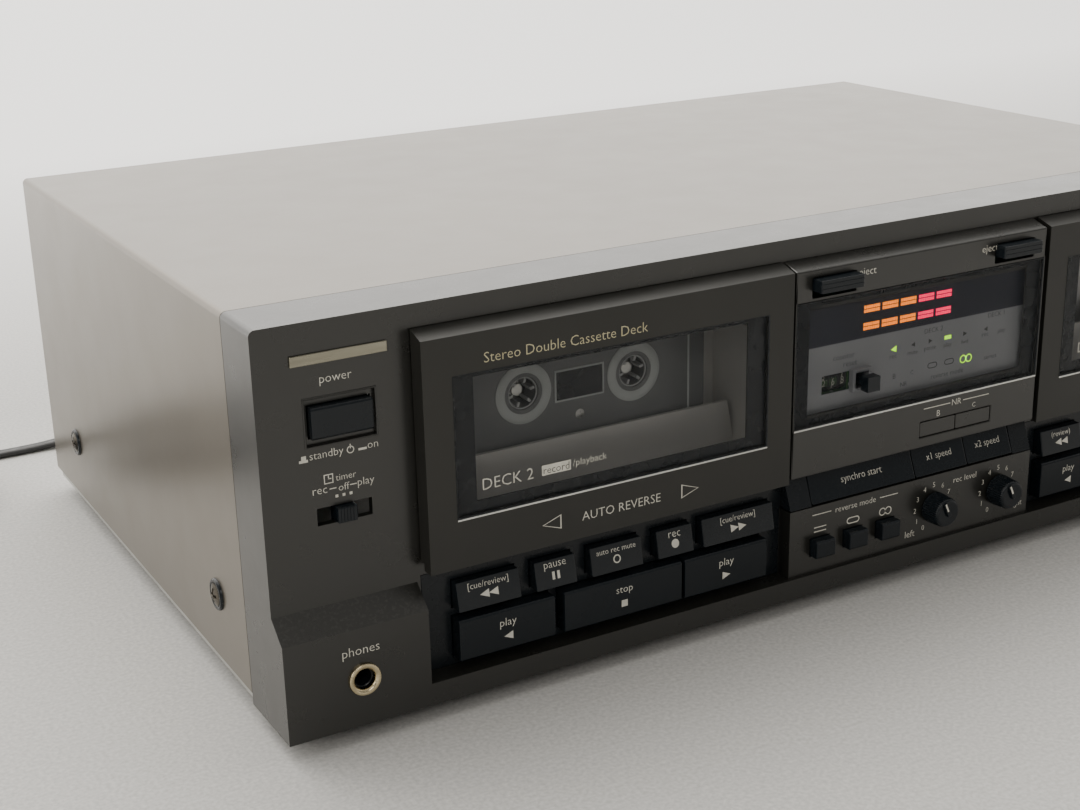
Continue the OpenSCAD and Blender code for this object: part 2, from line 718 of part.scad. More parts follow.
module eject_lever(i) place() color(gloss_black) {
    slab(about(eject_x[i], eject_w), [-front_out - eject_out, fascia_lip[1]], about(eject_z, eject_h));
    slab(about(eject_x[i], eject_w + 3), fascia_lip, about(eject_z, eject_h + 1.1));
}

module counter_reset_button() place() color(gloss_black) {
    slab(about(reset_x, reset_w), reset_y, about(reset_z, reset_w));
    rod_y(reset_x, reset_z, reset_stem_r, [reset_y[1] - eps, -seat]);
}

module nr_key(i) place() color(charcoal) {
    x = nr_x + i * (nr_w + nr_apart);
    slab([x, x + nr_w], [-front_out + 0.2, fascia_lip[1]], [nr_z, nr_z + nr_h]);
    slab([x, x + nr_w], fascia_lip, grow([nr_z, nr_z + nr_h], lip_over));
}

module band_key(i) place() color(gloss_black)
    leaning_key(span(fascia_x, band_keys[i]), band_span(), band_out, band_lean, key_back, lip_over);

module reverse_key(i) place() color(gloss_black)
    push_key(about(reverse_x[i], reverse_w), about(reverse_z, reverse_h), knob_panel_out + reverse_out,
        key_back, lip_over);

module level_knob(i) place() color(gloss_black) {
    base_y = -knob_panel_out - knob_gap;
    translate([knob_x[i], base_y, knob_z]) rotate([90, 0, 0])
        cylinder(r1 = knob_r, r2 = knob_r - knob_taper, h = knob_len - knob_gap - pointer_t);
    rod_y(knob_x[i], knob_z, shaft_r, [base_y - eps, 6]);
    // pointer ridge on the front face, turned to the stored setting
    translate([knob_x[i], 0, knob_z]) rotate([0, -pointer_turn, 0])
        slab(about(0, 2 * pointer_t), [-knob_front, -knob_front + pointer_t + eps], [-1, knob_r - 1]);
}

module upper_key(start, k) place() color(gloss_black)
    leaning_key(span(start, k), upper_span(), key_out, 2, key_back, lip_over);

module lower_key(start, k) place() color(gloss_black)
    push_key(span(start, k), lower_span(), key_out, key_back, lip_over);

// ---- mains lead ----

module strain_relief() place() color(cord_black) {
    flange_y = [rear_out + relief_flange[0], rear_out + relief_flange[1]];
    rod_y(relief_x, relief_z, relief_r, [rear_in - 3, flange_y[0] + seat + eps]);
    rod_y(relief_x, relief_z, relief_flange_r, flange_y);
    translate([relief_x, flange_y[1] - eps, relief_z]) rotate([-90, 0, 0])
        cylinder(r1 = relief_taper[0], r2 = relief_taper[1],
            h = casing_d + relief_len - flange_y[1] + eps);
}

function unit(v) = v / norm(v);
function heading(p, i) = unit(p[min(i + 1, len(p) - 1)] - p[max(i - 1, 0)]);
function ring(p, i) = let (t = heading(p, i), s = unit(cross(t, [0, 0, 1])), u = cross(s, t))
    [for (k = [0:cord_sides - 1]) let (a = 360 * k / cord_sides)
        p[i] + s * cos(a) * cord_w / 2 + u * sin(a) * cord_t / 2];

// a flat cord swept along a route, closed at both ends
module swept_cord(p) {
    n = len(p);
    points = [for (i = [0:n - 1]) each ring(p, i)];
    sides = [for (i = [0:n - 2], k = [0:cord_sides - 1]) let (m = (k + 1) % cord_sides)
        [i * cord_sides + k, i * cord_sides + m, (i + 1) * cord_sides + m, (i + 1) * cord_sides + k]];
    start = [[for (k = [cord_sides - 1:-1:0]) k]];
    end = [[for (k = [0:cord_sides - 1]) (n - 1) * cord_sides + k]];
    polyhedron(points = points, faces = concat(sides, start, end));
}

module mains_cord() color(cord_black) {
    swept_cord(lead_route);
    swept_cord(tail_route);
}

module cord_coil() color(cord_black) translate([coil_at[0], coil_at[1], 0]) rotate_extrude()
    translate([coil_radii[0] - cord_w / 2, 0])
        square([coil_radii[1] - coil_radii[0] + cord_w, coil_layers * (cord_t + 0.1)]);

module mains_plug() color(cord_black) translate(plug_at) {
    slab(about(0, plug_w), [-plug_len, 0], [-plug_at[2], plug_at[2]]);
    for (side = [-1, 1]) slab(about(side * blade_pitch / 2, blade_t),
        [-plug_len - blade_len, -plug_len + eps], about(0, blade_w));
}

top_cover();
bottom_chassis();
rear_panel();
front_panel();
key_bezel();
centre_fascia();
display_window();
display_board();
main_board();
line_sockets();
phones_socket();
mechanism_frames();
feet();
cover_screws();
strain_relief();
mains_cord();
cord_coil();
mains_plug();
cassette_door(1);  // cassette_door_2
door_window(1);  // door_window_2
cassette();
cassette_door(0);  // cassette_door_1
door_window(0);  // door_window_1
power_button();
timer_slider();
eject_lever(1);  // eject_lever_2
eject_lever(0);  // eject_lever_1
counter_reset_button();
nr_key(0);  // nr_b_key
nr_key(1);  // nr_c_key
band_key(0);  // synchro_start_key
band_key(1);  // speed_x1_key
band_key(2);  // speed_x2_key
reverse_key(0);  // reverse_one_side_key
reverse_key(1);  // reverse_both_sides_key
reverse_key(2);  // reverse_loop_key
level_knob(0);  // level_knob_left
level_knob(1);  // level_knob_right
upper_key(door_2_x, upper_2[0]);  // rewind_key_2
upper_key(door_2_x, upper_2[1]);  // pause_key_2
upper_key(door_2_x, upper_2[2]);  // rec_mute_key_2
upper_key(door_2_x, upper_2[3]);  // record_key_2
upper_key(door_2_x, upper_2[4]);  // forward_key_2
lower_key(door_2_x, lower_2[0]);  // play_reverse_key_2
lower_key(door_2_x, lower_2[1]);  // stop_key_2
lower_key(door_2_x, lower_2[2]);  // play_forward_key_2
upper_key(door_1_x, upper_1[0]);  // rewind_key_1
upper_key(door_1_x, upper_1[1]);  // forward_key_1
lower_key(door_1_x, lower_1[0]);  // play_reverse_key_1
lower_key(door_1_x, lower_1[1]);  // stop_key_1
lower_key(door_1_x, lower_1[2]);  // play_forward_key_1
spindle(1, -1);  // spindle_left_2
spindle(1, 1);  // spindle_right_2
spindle(0, -1);  // spindle_left_1
spindle(0, 1);  // spindle_right_1
flywheel(1);  // flywheel_2
flywheel(0);  // flywheel_1
head_plate(1);  // head_plate_2
head_plate(0);  // head_plate_1
counter_wheel();
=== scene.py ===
import math

import bmesh
import bpy
import numpy as np
from mathutils import Matrix, Vector


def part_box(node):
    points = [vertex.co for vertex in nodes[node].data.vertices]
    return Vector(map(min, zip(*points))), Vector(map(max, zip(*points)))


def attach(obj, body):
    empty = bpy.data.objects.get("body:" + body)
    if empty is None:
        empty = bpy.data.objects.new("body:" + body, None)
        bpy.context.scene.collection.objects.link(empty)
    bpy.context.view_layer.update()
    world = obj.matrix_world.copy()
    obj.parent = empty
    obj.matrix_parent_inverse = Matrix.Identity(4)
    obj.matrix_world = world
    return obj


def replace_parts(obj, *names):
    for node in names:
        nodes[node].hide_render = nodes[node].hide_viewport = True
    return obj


# Looks of a stereo double cassette deck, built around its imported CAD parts.
# Sizes are in millimetres and become metres when a mesh is made.

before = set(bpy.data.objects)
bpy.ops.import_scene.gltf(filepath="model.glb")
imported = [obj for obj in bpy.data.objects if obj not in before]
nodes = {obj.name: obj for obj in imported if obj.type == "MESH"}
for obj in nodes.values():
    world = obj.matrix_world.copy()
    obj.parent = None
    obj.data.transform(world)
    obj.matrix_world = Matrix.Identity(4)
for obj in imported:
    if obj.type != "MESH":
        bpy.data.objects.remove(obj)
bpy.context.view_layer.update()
mm = 0.001
print("frame loaded:", len(nodes), "nodes")


# helpers for shapes

# Lowest and highest corner of a CAD node, in millimetres.
def corners(node):
    low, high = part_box(node)
    return np.array(low) / mm, np.array(high) / mm


# Middle of a CAD node's box, in millimetres.
def middle(node):
    low, high = corners(node)
    return (low + high) / 2


# Quads of a grid of points: each joins point (i, j) to (i, j+1), (i+1, j+1) and (i+1, j).
def gridFaces(rows, columns, closeRows=False, closeColumns=False):
    i = np.arange(rows if closeRows else rows - 1)[:, None]
    j = np.arange(columns if closeColumns else columns - 1)[None, :]
    nextRow, nextColumn = (i + 1) % rows, (j + 1) % columns
    quads = np.stack([i * columns + j, i * columns + nextColumn,
                      nextRow * columns + nextColumn, nextRow * columns + j], -1)
    return quads.reshape(-1, 4)


# Several (points, faces) shapes as one.
def joined(shapes):
    points, faces, start = [], [], 0
    for somePoints, someFaces in shapes:
        points.append(somePoints)
        faces += [[int(k) + start for k in face] for face in someFaces]
        start += len(somePoints)
    return np.concatenate(points), faces


# A mesh object from (points in mm, faces), welded, with its faces pointing outwards, on a body.
def addPiece(name, shape, finish, body, smooth=True, bevel=0, weld=0.0005, angle=40):
    points, faces = shape
    mesh = bpy.data.meshes.new(name)
    mesh.from_pydata((np.asarray(points, float) * mm).tolist(), [], [list(map(int, f)) for f in faces])
    work = bmesh.new()
    work.from_mesh(mesh)
    bmesh.ops.remove_doubles(work, verts=work.verts, dist=weld * mm)
    bmesh.ops.recalc_face_normals(work, faces=work.faces)
    work.to_mesh(mesh)
    work.free()
    mesh.materials.append(finish)
    piece = bpy.data.objects.new(name, mesh)
    bpy.context.scene.collection.objects.link(piece)
    if bevel:
        edge = piece.modifiers.new("edges", "BEVEL")
        edge.width = bevel * mm
        edge.segments = 2
        edge.limit_method = "ANGLE"
        edge.angle_limit = math.radians(angle)
    if smooth:
        mesh.shade_smooth()
        mesh.set_sharp_from_angle(angle=math.radians(angle))
    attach(piece, body)
    return piece


# A turned shape: each profile point is (radius, place along the axis). The point at angle a is
# middle + radius·(cos a, sin a) across the axis + place along it. wave(a, place) adds to the radius.
def turned(profile, middlePoint, axis="y", around=48, wave=None):
    profile = np.array(profile, float)
    a = np.linspace(0, 2 * math.pi, around, endpoint=False)[None, :]
    place = profile[:, 1][:, None] + 0 * a
    radius = profile[:, 0][:, None] + 0 * a
    if wave is not None:
        radius = np.where(radius > 0, radius + wave(a, place), radius)
    across, up = radius * np.cos(a), radius * np.sin(a)
    order = {"y": (across, place, up), "x": (place, across, up), "z": (across, up, place)}[axis]
    points = np.stack(order, -1).reshape(-1, 3) + np.array(middlePoint, float)
    return points, gridFaces(len(profile), around, closeColumns=True)


# A block from its lowest and highest corner.
def slab(low, high):
    low, high = np.array(low, float), np.array(high, float)
    pick = np.array([[i & 1, i >> 1 & 1, i >> 2 & 1] for i in range(8)])
    faces = [[0, 2, 3, 1], [4, 5, 7, 6], [0, 1, 5, 4], [2, 6, 7, 3], [0, 4, 6, 2], [1, 3, 7, 5]]
    return low + pick * (high - low), faces


# A rectangular frame: profile points (outwards, along Y) carried round the rectangle x by z.
def rectangleRing(x, z, y, profile):
    profile = np.array(profile, float)
    sign = np.array([[-1, -1], [1, -1], [1, 1], [-1, 1]], float)
    half = np.array([(x[1] - x[0]) / 2, (z[1] - z[0]) / 2])
    centre = np.array([(x[1] + x[0]) / 2, (z[1] + z[0]) / 2])
    flat = centre + sign[:, None, :] * (half + profile[None, :, :1])
    depth = y + profile[None, :, 1] + np.zeros((4, 1))
    points = np.stack([flat[..., 0], depth, flat[..., 1]], -1).reshape(-1, 3)
    return points, gridFaces(4, len(profile), closeRows=True, closeColumns=True)


# A smooth line through points: on each span, half of
# 2·b + (c−a)·t + (2·a−5·b+4·c−d)·t² + (3·b−a−3·c+d)·t³, where a, b, c and d are four points in a row.
def smoothRoute(points, perSpan):
    p = np.array(points, float)
    p = np.concatenate([[2 * p[0] - p[1]], p, [2 * p[-1] - p[-2]]])
    t = (np.arange(perSpan) / perSpan)[None, :, None]
    a, b, c, d = (p[k:len(p) - 3 + k][:, None, :] for k in range(4))
    line = 0.5 * (2 * b + (c - a) * t + (2 * a - 5 * b + 4 * c - d) * t ** 2
                  + (3 * b - a - 3 * c + d) * t ** 3)
    return np.concatenate([line.reshape(-1, 3), p[-2:-1]])


# The same line with its points a step apart.
def evenly(line, step):
    along = np.concatenate([[0], np.cumsum(np.linalg.norm(np.diff(line, axis=0), axis=1))])
    places = np.linspace(0, along[-1], int(round(along[-1] / step)) + 1)
    return np.stack([np.interp(places, along, line[:, k]) for k in range(3)], -1), along[-1]


# camera

view = dict(place=(-0.36794, -0.56555, 0.27192), azimuth=29.348, elevation=19.242, roll=-1.325,
            lens=56.355, sensor=36)


# Forward is (sin a·cos e, cos a·cos e, −sin e), and the roll turns the picture about it.
def addCamera():
    a, e, roll = (math.radians(view[k]) for k in ("azimuth", "elevation", "roll"))
    forward = Vector((math.sin(a) * math.cos(e), math.cos(a) * math.cos(e), -math.sin(e)))
    level = Vector((math.cos(a), -math.sin(a), 0))
    upright = level.cross(forward)
    right = math.cos(roll) * level + math.sin(roll) * upright
    up = -math.sin(roll) * level + math.cos(roll) * upright
    data = bpy.data.cameras.new("camera")
    data.lens, data.sensor_width, data.clip_start = view["lens"], view["sensor"], 0.01
    camera = bpy.data.objects.new("camera", data)
    bpy.context.scene.collection.objects.link(camera)
    turn = Matrix((right, up, -forward)).transposed().to_4x4()
    camera.matrix_world = Matrix.Translation(view["place"]) @ turn
    bpy.context.scene.camera = camera


addCamera()
print("camera placed")


# finishes

def startFinish(name):
    finish = bpy.data.materials.new(name)
    finish.use_nodes = True
    tree = finish.node_tree
    place = tree.nodes.new("ShaderNodeTexCoord").outputs["Object"]
    return finish, tree, tree.nodes["Principled BSDF"], place


# A noise factor at a scale per metre, which stretch can pull out along an axis.
def grainOf(tree, place, scale, detail=3, stretch=None):
    if stretch:
        mapping = tree.nodes.new("ShaderNodeMapping")
        mapping.inputs["Scale"].default_value = stretch
        tree.links.new(place, mapping.inputs["Vector"])
        place = mapping.outputs["Vector"]
    noise = tree.nodes.new("ShaderNodeTexNoise")
    noise.inputs["Scale"].default_value = scale
    noise.inputs["Detail"].default_value = detail
    tree.links.new(place, noise.inputs["Vector"])
    return noise.outputs[0]


# Takes a factor from start..end to low..high.
def spread(tree, factor, low, high, start=0.35, end=0.65):
    change = tree.nodes.new("ShaderNodeMapRange")
    for socket, value in (("From Min", start), ("From Max", end), ("To Min", low), ("To Max", high)):
        change.inputs[socket].default_value = value
    tree.links.new(factor, change.inputs["Value"])
    return change.outputs["Result"]


# A colour ramp, stops being (place, colour).
def tones(tree, factor, stops):
    ramp = tree.nodes.new("ShaderNodeValToRGB")
    while len(ramp.color_ramp.elements) < len(stops):
        ramp.color_ramp.elements.new(0.5)
    for element, (place, colour) in zip(ramp.color_ramp.elements, stops):
        element.position, element.color = place, (*colour, 1)
    tree.links.new(factor, ramp.inputs["Fac"])
    return ramp.outputs["Color"]


def mixColours(tree, factor, first, second):
    mix = tree.nodes.new("ShaderNodeMix")
    mix.data_type = "RGBA"
    for value, socket in ((factor, mix.inputs[0]), (first, mix.inputs[6]), (second, mix.inputs[7])):
        if isinstance(value, tuple):
            socket.default_value = (*value, 1)
        else:
            tree.links.new(value, socket)
    return mix.outputs[2]


# Fine dust that lies only on faces that look up.
def addDust(tree, place, colour, amount):
    direction = tree.nodes.new("ShaderNodeSeparateXYZ")
    tree.links.new(tree.nodes.new("ShaderNodeNewGeometry").outputs["Normal"], direction.inputs[0])
    specks = spread(tree, grainOf(tree, place, 900, 4), 0, amount, 0.5, 0.72)
    lying = tree.nodes.new("ShaderNodeMath")
    lying.operation = "MULTIPLY"
    lying.use_clamp = True
    tree.links.new(direction.outputs["Z"], lying.inputs[0])
    tree.links.new(specks, lying.inputs[1])
    return mixColours(tree, lying.outputs[0], colour, (0.34, 0.32, 0.29))


# Paint, moulded plastic or metal: two tones in broad patches, a fine grain in the surface and
# a gloss that varies. back is (place along Y, dark, light) for what lies behind that place; on the doors it
# is painted light, a light grey for the light falling on the holder's lip.
def plainFinish(name, dark, light, rough=(0.35, 0.45), patch=30, grain=1400, depth=0.00002,
                metal=0.0, stretch=None, coat=0.0, dust=0.0, back=None, shine=0.5):
    finish, tree, shader, place = startFinish(name)
    broad = grainOf(tree, place, patch, 4, stretch)
    colour = tones(tree, broad, [(0.35, dark), (0.65, light)])
    if back:
        split = tree.nodes.new("ShaderNodeSeparateXYZ")
        tree.links.new(place, split.inputs[0])
        behind = spread(tree, split.outputs["Y"], 0, 1, back[0] * mm - 0.0001, back[0] * mm + 0.0001)
        colour = mixColours(tree, behind, colour, tones(tree, broad, [(0.35, back[1]), (0.65, back[2])]))
    if dust:
        colour = addDust(tree, place, colour, dust)
    tree.links.new(colour, shader.inputs["Base Color"])
    fine = grainOf(tree, place, grain, 2, stretch)
    tree.links.new(spread(tree, grainOf(tree, place, patch * 5, 5, stretch), *rough),
                   shader.inputs["Roughness"])
    bump = tree.nodes.new("ShaderNodeBump")
    bump.inputs["Strength"].default_value = 0.6
    bump.inputs["Distance"].default_value = depth
    tree.links.new(fine, bump.inputs["Height"])
    tree.links.new(bump.outputs["Normal"], shader.inputs["Normal"])
    shader.inputs["Metallic"].default_value = metal
    shader.inputs["Coat Weight"].default_value = coat
    shader.inputs["Coat Roughness"].default_value = 0.25
    shader.inputs["Specular IOR Level"].default_value = shine
    return finish


# Green solder mask with lighter copper tracks and tinned dots.
def boardFinish(name):
    finish, tree, shader, place = startFinish(name)
    track = tree.nodes.new("ShaderNodeTexBrick")
    track.inputs["Scale"].default_value = 90
    track.inputs["Mortar Size"].default_value = 0.035
    track.inputs["Color1"].default_value = (0.012, 0.085, 0.035, 1)
    track.inputs["Color2"].default_value = (0.016, 0.105, 0.045, 1)
    track.inputs["Mortar"].default_value = (0.10, 0.24, 0.08, 1)
    tree.links.new(place, track.inputs["Vector"])
    dots = tree.nodes.new("ShaderNodeTexVoronoi")
    dots.inputs["Scale"].default_value = 260
    tree.links.new(place, dots.inputs["Vector"])
    tinned = spread(tree, dots.outputs["Distance"], 1, 0, 0.16, 0.2)
    tree.links.new(mixColours(tree, tinned, track.outputs["Color"], (0.5, 0.5, 0.48)),
                   shader.inputs["Base Color"])
    tree.links.new(spread(tree, grainOf(tree, place, 200), 0.3, 0.5), shader.inputs["Roughness"])
    return finish


# Smoked acrylic: dark, glossy and half clear, with faint wiping marks in its gloss.
def smokedFinish(name, shade, shine):
    finish, tree, shader, place = startFinish(name)
    colour = tones(tree, grainOf(tree, place, 25, 3), [(0.3, (0.006, 0.008, 0.010)),
                                                       (0.7, (0.011, 0.013, 0.015))])
    tree.links.new(colour, shader.inputs["Base Color"])
    marks = grainOf(tree, place, 60, 5, (1, 1, 3))
    tree.links.new(spread(tree, marks, 0.03, 0.09), shader.inputs["Roughness"])
    shader.inputs["Alpha"].default_value = shade
    shader.inputs["Specular IOR Level"].default_value = shine
    return finish


# A lit segment: a bright core behind a faintly grained lens.
def lampFinish(name, colour, strength):
    finish, tree, shader, place = startFinish(name)
    glow = tones(tree, grainOf(tree, place, 1200, 2), [(0.3, tuple(0.75 * c for c in colour)),
                                                       (0.7, colour)])
    tree.links.new(glow, shader.inputs["Base Color"])
    tree.links.new(glow, shader.inputs["Emission Color"])
    shader.inputs["Emission Strength"].default_value = strength
    shader.inputs["Roughness"].default_value = 0.3
    return finish


# The plate behind the display window, all painted light: a lit grey below, and a deep blue-black painted
# shadow of the window's top bezel above the line at height split.
def plateFinish(name, split):
    finish, tree, shader, place = startFinish(name)
    parts = tree.nodes.new("ShaderNodeSeparateXYZ")
    tree.links.new(place, parts.inputs[0])
    shadeShare = spread(tree, parts.outputs["Z"], 0, 1, split * mm - 0.0002, split * mm + 0.0002)
    broad = grainOf(tree, place, 60, 3)
    paintedLit = tones(tree, broad, [(0.3, (0.33, 0.34, 0.355)), (0.7, (0.37, 0.38, 0.395))])
    paintedShade = tones(tree, broad, [(0.3, (0.012, 0.014, 0.028)), (0.7, (0.018, 0.021, 0.040))])
    tree.links.new(mixColours(tree, shadeShare, paintedLit, paintedShade), shader.inputs["Base Color"])
    tree.links.new(spread(tree, grainOf(tree, place, 300), 0.4, 0.55), shader.inputs["Roughness"])
    return finish


# the panel's own places, from the CAD parts
panelLow = corners("front_panel")[0]
frontStep = 7.5  # the doors, the fascia and the apron stand this far in front of the panel
apronFace = panelLow[1]
panelFace = apronFace + frontStep
panelFoot = panelLow[2]
knobFace = panelFace - 6  # the panel round the knobs
litHolderFrom = panelFace - 0.4  # behind this, a door's holder begins, its lip painted light grey for the light falling on it

finishes = dict(
    cover=plainFinish("coverPaint", (0.165, 0.143, 0.113), (0.176, 0.153, 0.121), (0.31, 0.345),
                      patch=9, grain=2600, depth=0.000006, metal=0.8, dust=0.04, coat=0.35),
    front=plainFinish("frontMoulding", (0.0155, 0.0152, 0.0128), (0.0175, 0.0171, 0.0146), (0.27, 0.31),
                      patch=18, grain=2200, depth=0.000005, metal=0.3, dust=0.06, shine=0.6, coat=0.35),
    # the door moulding behind the holder's front is painted light grey: painted light on the holder's dark
    # lip
    door=plainFinish("doorMouldingAndPaintedLight", (0.0185, 0.0182, 0.0155), (0.0210, 0.0205, 0.0175), (0.34, 0.38),
                     patch=18, grain=2200, depth=0.000007, metal=0.3,
                     back=(litHolderFrom, (0.52, 0.51, 0.48), (0.58, 0.57, 0.54))),
    keys=plainFinish("glossKeys", (0.0055, 0.0080, 0.0105), (0.0070, 0.0098, 0.0125), (0.15, 0.20),
                     patch=30, grain=1800, depth=0.000003, dust=0.03, shine=0.28),
    bezel=plainFinish("keyBezel", (0.0065, 0.0085, 0.0105), (0.008, 0.0105, 0.013), (0.24, 0.30),
                      patch=30, grain=1800, depth=0.000005, dust=0.03, shine=0.3),
    zinc=plainFinish("zincSteel", (0.47, 0.47, 0.45), (0.55, 0.55, 0.53), (0.32, 0.42),
                     patch=90, grain=1500, depth=0.00001, metal=1.0),
    bronze=plainFinish("bronzedSteel", (0.085, 0.075, 0.060), (0.115, 0.102, 0.082), (0.24, 0.34),
                       patch=200, grain=1500, depth=0.000006, metal=1.0),
    chrome=plainFinish("chromeSteel", (0.62, 0.61, 0.58), (0.72, 0.71, 0.68), (0.12, 0.2),
                       patch=90, grain=2500, depth=0.000004, metal=1.0),
    brass=plainFinish("brassRing", (0.52, 0.44, 0.28), (0.66, 0.57, 0.38), (0.16, 0.28),
                      patch=300, grain=3000, depth=0.000004, metal=1.0),
    rubber=plainFinish("footRubber", (0.012, 0.012, 0.012), (0.020, 0.020, 0.019), (0.55, 0.75),
                       patch=90, grain=1600, depth=0.00005),
    cord=plainFinish("cordSheath", (0.010, 0.010, 0.011), (0.016, 0.016, 0.016), (0.34, 0.5),
                     patch=60, grain=2200, depth=0.00002),
    shell=plainFinish("cassetteShell", (0.105, 0.110, 0.110), (0.125, 0.130, 0.130), (0.28, 0.36),
                      patch=60, grain=1500, depth=0.000012),
    rings=plainFinish("cassetteRings", (0.34, 0.36, 0.35), (0.40, 0.42, 0.41), (0.3, 0.42),
                      patch=60, grain=1500, depth=0.000012),
    hub=plainFinish("hubPlastic", (0.34, 0.35, 0.35), (0.42, 0.43, 0.42), (0.35, 0.5),
                    patch=80, grain=1500, depth=0.000012),
    # bright metal for the rating plate, and painted highlight on the strips under the windows
    metalAndHighlight=plainFinish("brightMetalAndHighlight", (0.50, 0.50, 0.48), (0.66, 0.66, 0.63), (0.22, 0.34),
                     patch=200, grain=1800, depth=0.000005, metal=1.0, stretch=(0.1, 1, 1)),
    badge=plainFinish("badgeMetal", (0.26, 0.245, 0.19), (0.36, 0.34, 0.27), (0.25, 0.38),
                      patch=200, grain=1800, depth=0.000006, metal=1.0, stretch=(0.08, 1, 1)),
    wheel=plainFinish("numberWheel", (0.030, 0.031, 0.033), (0.042, 0.043, 0.045), (0.4, 0.55), patch=80),
    cream=plainFinish("creamInk", (0.55, 0.53, 0.46), (0.66, 0.64, 0.56), (0.45, 0.6), patch=300),
    gold=plainFinish("goldInk", (0.47, 0.42, 0.25), (0.57, 0.52, 0.33), (0.4, 0.55), patch=300),
    dim=plainFinish("unlitInk", (0.075, 0.08, 0.078), (0.10, 0.105, 0.10), (0.5, 0.6), patch=300),
    dark=plainFinish("darkInk", (0.03, 0.03, 0.028), (0.04, 0.04, 0.036), (0.5, 0.6), patch=300),
    red=plainFinish("redInsulator", (0.30, 0.018, 0.014), (0.38, 0.026, 0.020), (0.3, 0.42), patch=120),
    white=plainFinish("whiteInsulator", (0.55, 0.55, 0.52), (0.64, 0.64, 0.61), (0.3, 0.42), patch=120),
    board=boardFinish("circuitBoard"),
    smoked=smokedFinish("smokedWindow", 0.17, 0.5),
    display=smokedFinish("displayGlass", 0.24, 0.24),
    orangeLamp=lampFinish("orangeLamp", (1.0, 0.24, 0.01), 2.4),
    redLamp=lampFinish("redLamp", (1.0, 0.005, 0.09), 2.6),
    greenLamp=lampFinish("greenLamp", (0.42, 0.95, 0.0), 2.4),
)
print("finishes made:", len(finishes))


# mains lead: flat twin flex from the strain relief to a neat coil and its plug

lead = dict(
    width=6.0, thickness=3.3, length=1.7, step=2.5, sides=28, layer=3.4, rest=1.7,
    roundness=0.75, groove=0.3, grooveWide=0.8,
    route=[[-140, 152, 30], [-140, 157, 30], [-141, 165, 28.4], [-144, 172, 25.5],
           [-148, 178, 22.5], [-154, 182, 19], [-161, 185, 15.5], [-168, 186, 12], [-176, 186, 8.8],
           [-184, 186, 6], [-192, 186, 4], [-200, 186, 2.7], [-208, 186, 2], [-218, 186, 1.7],
           [-230, 186, 1.7], [-245, 186, 1.7], [-260, 186, 1.7], [-272, 186, 1.7]],
    tail=[[-321, 137, 11.4], [-321, 132, 10.6], [-321, 126, 9.2], [-321, 118, 7.5], [-321, 112, 7.5]],
    coilAt=(-285, 150), startAngle=90, sweep=2610, firstChange=20, turnLength=326.25, change=80,
    radii=[36, 30, 30, 36, 36, 30, 30, 36], layers=[0, 0, 1, 1, 2, 2, 3, 3])


# The coil's centreline: (cos a, sin a)·radius about its middle, where radius and height go
# smoothly from one turn's value to the next as the angle a passes each change.
def coilLine():
    s = np.linspace(0, lead["sweep"], 1400)
    radius = np.full_like(s, lead["radii"][0])
    height = np.full_like(s, lead["layers"][0])
    for k in range(1, len(lead["radii"])):
        t = (s - lead["firstChange"] - k * lead["turnLength"] + lead["change"]) / lead["change"]
        t = np.clip(t, 0, 1)
        share = t * t * (3 - 2 * t)
        radius = radius + share * (lead["radii"][k] - lead["radii"][k - 1])
        height = height + share * (lead["layers"][k] - lead["layers"][k - 1])
    a = np.radians(lead["startAngle"] + s)
    return np.stack([lead["coilAt"][0] + radius * np.cos(a), lead["coilAt"][1] + radius * np.sin(a),
                     lead["rest"] + lead["layer"] * height], -1)


# Each ring is centre + side·x + up·y, where side is level and x, y run round the flex's
# section: x = width/2·cos f, and y = thickness/2·|sin f|^roundness with the sign of sin f,
# times 1 − groove·exp(−(x/grooveWide)²), which draws it in at the middle.
def addLead():
    line = np.concatenate([smoothRoute(lead["route"], 6), coilLine(), smoothRoute(lead["tail"], 6)])
    line, length = evenly(line, lead["step"])
    ahead = np.gradient(line, axis=0)
    ahead /= np.linalg.norm(ahead, axis=1)[:, None]
    side = np.cross(ahead, [0, 0, 1])
    side /= np.linalg.norm(side, axis=1)[:, None]
    up = np.cross(side, ahead)
    f = np.linspace(0, 2 * math.pi, lead["sides"], endpoint=False)
    x = lead["width"] / 2 * np.cos(f)
    y = lead["thickness"] / 2 * np.sign(np.sin(f)) * np.abs(np.sin(f)) ** lead["roundness"]
    y = y * (1 - lead["groove"] * np.exp(-(x / lead["grooveWide"]) ** 2))
    rings = line[:, None, :] + side[:, None, :] * x[None, :, None] + up[:, None, :] * y[None, :, None]
    faces = gridFaces(len(line), lead["sides"], closeColumns=True).tolist()
    last = (len(line) - 1) * lead["sides"]
    faces += [list(range(lead["sides"])), list(range(last + lead["sides"] - 1, last - 1, -1))]
    piece = addPiece("mainsLead", (rings.reshape(-1, 3), faces), finishes["cord"], "casing")
    print("lead made, centreline", round(length / 1000, 3), "m")
    return piece, line


sleeve = dict(radius=5.0, flange=7.5, flangeAt=4.6, taper=1.5, ribs=6, ribHeight=0.5, ribShare=-0.2)


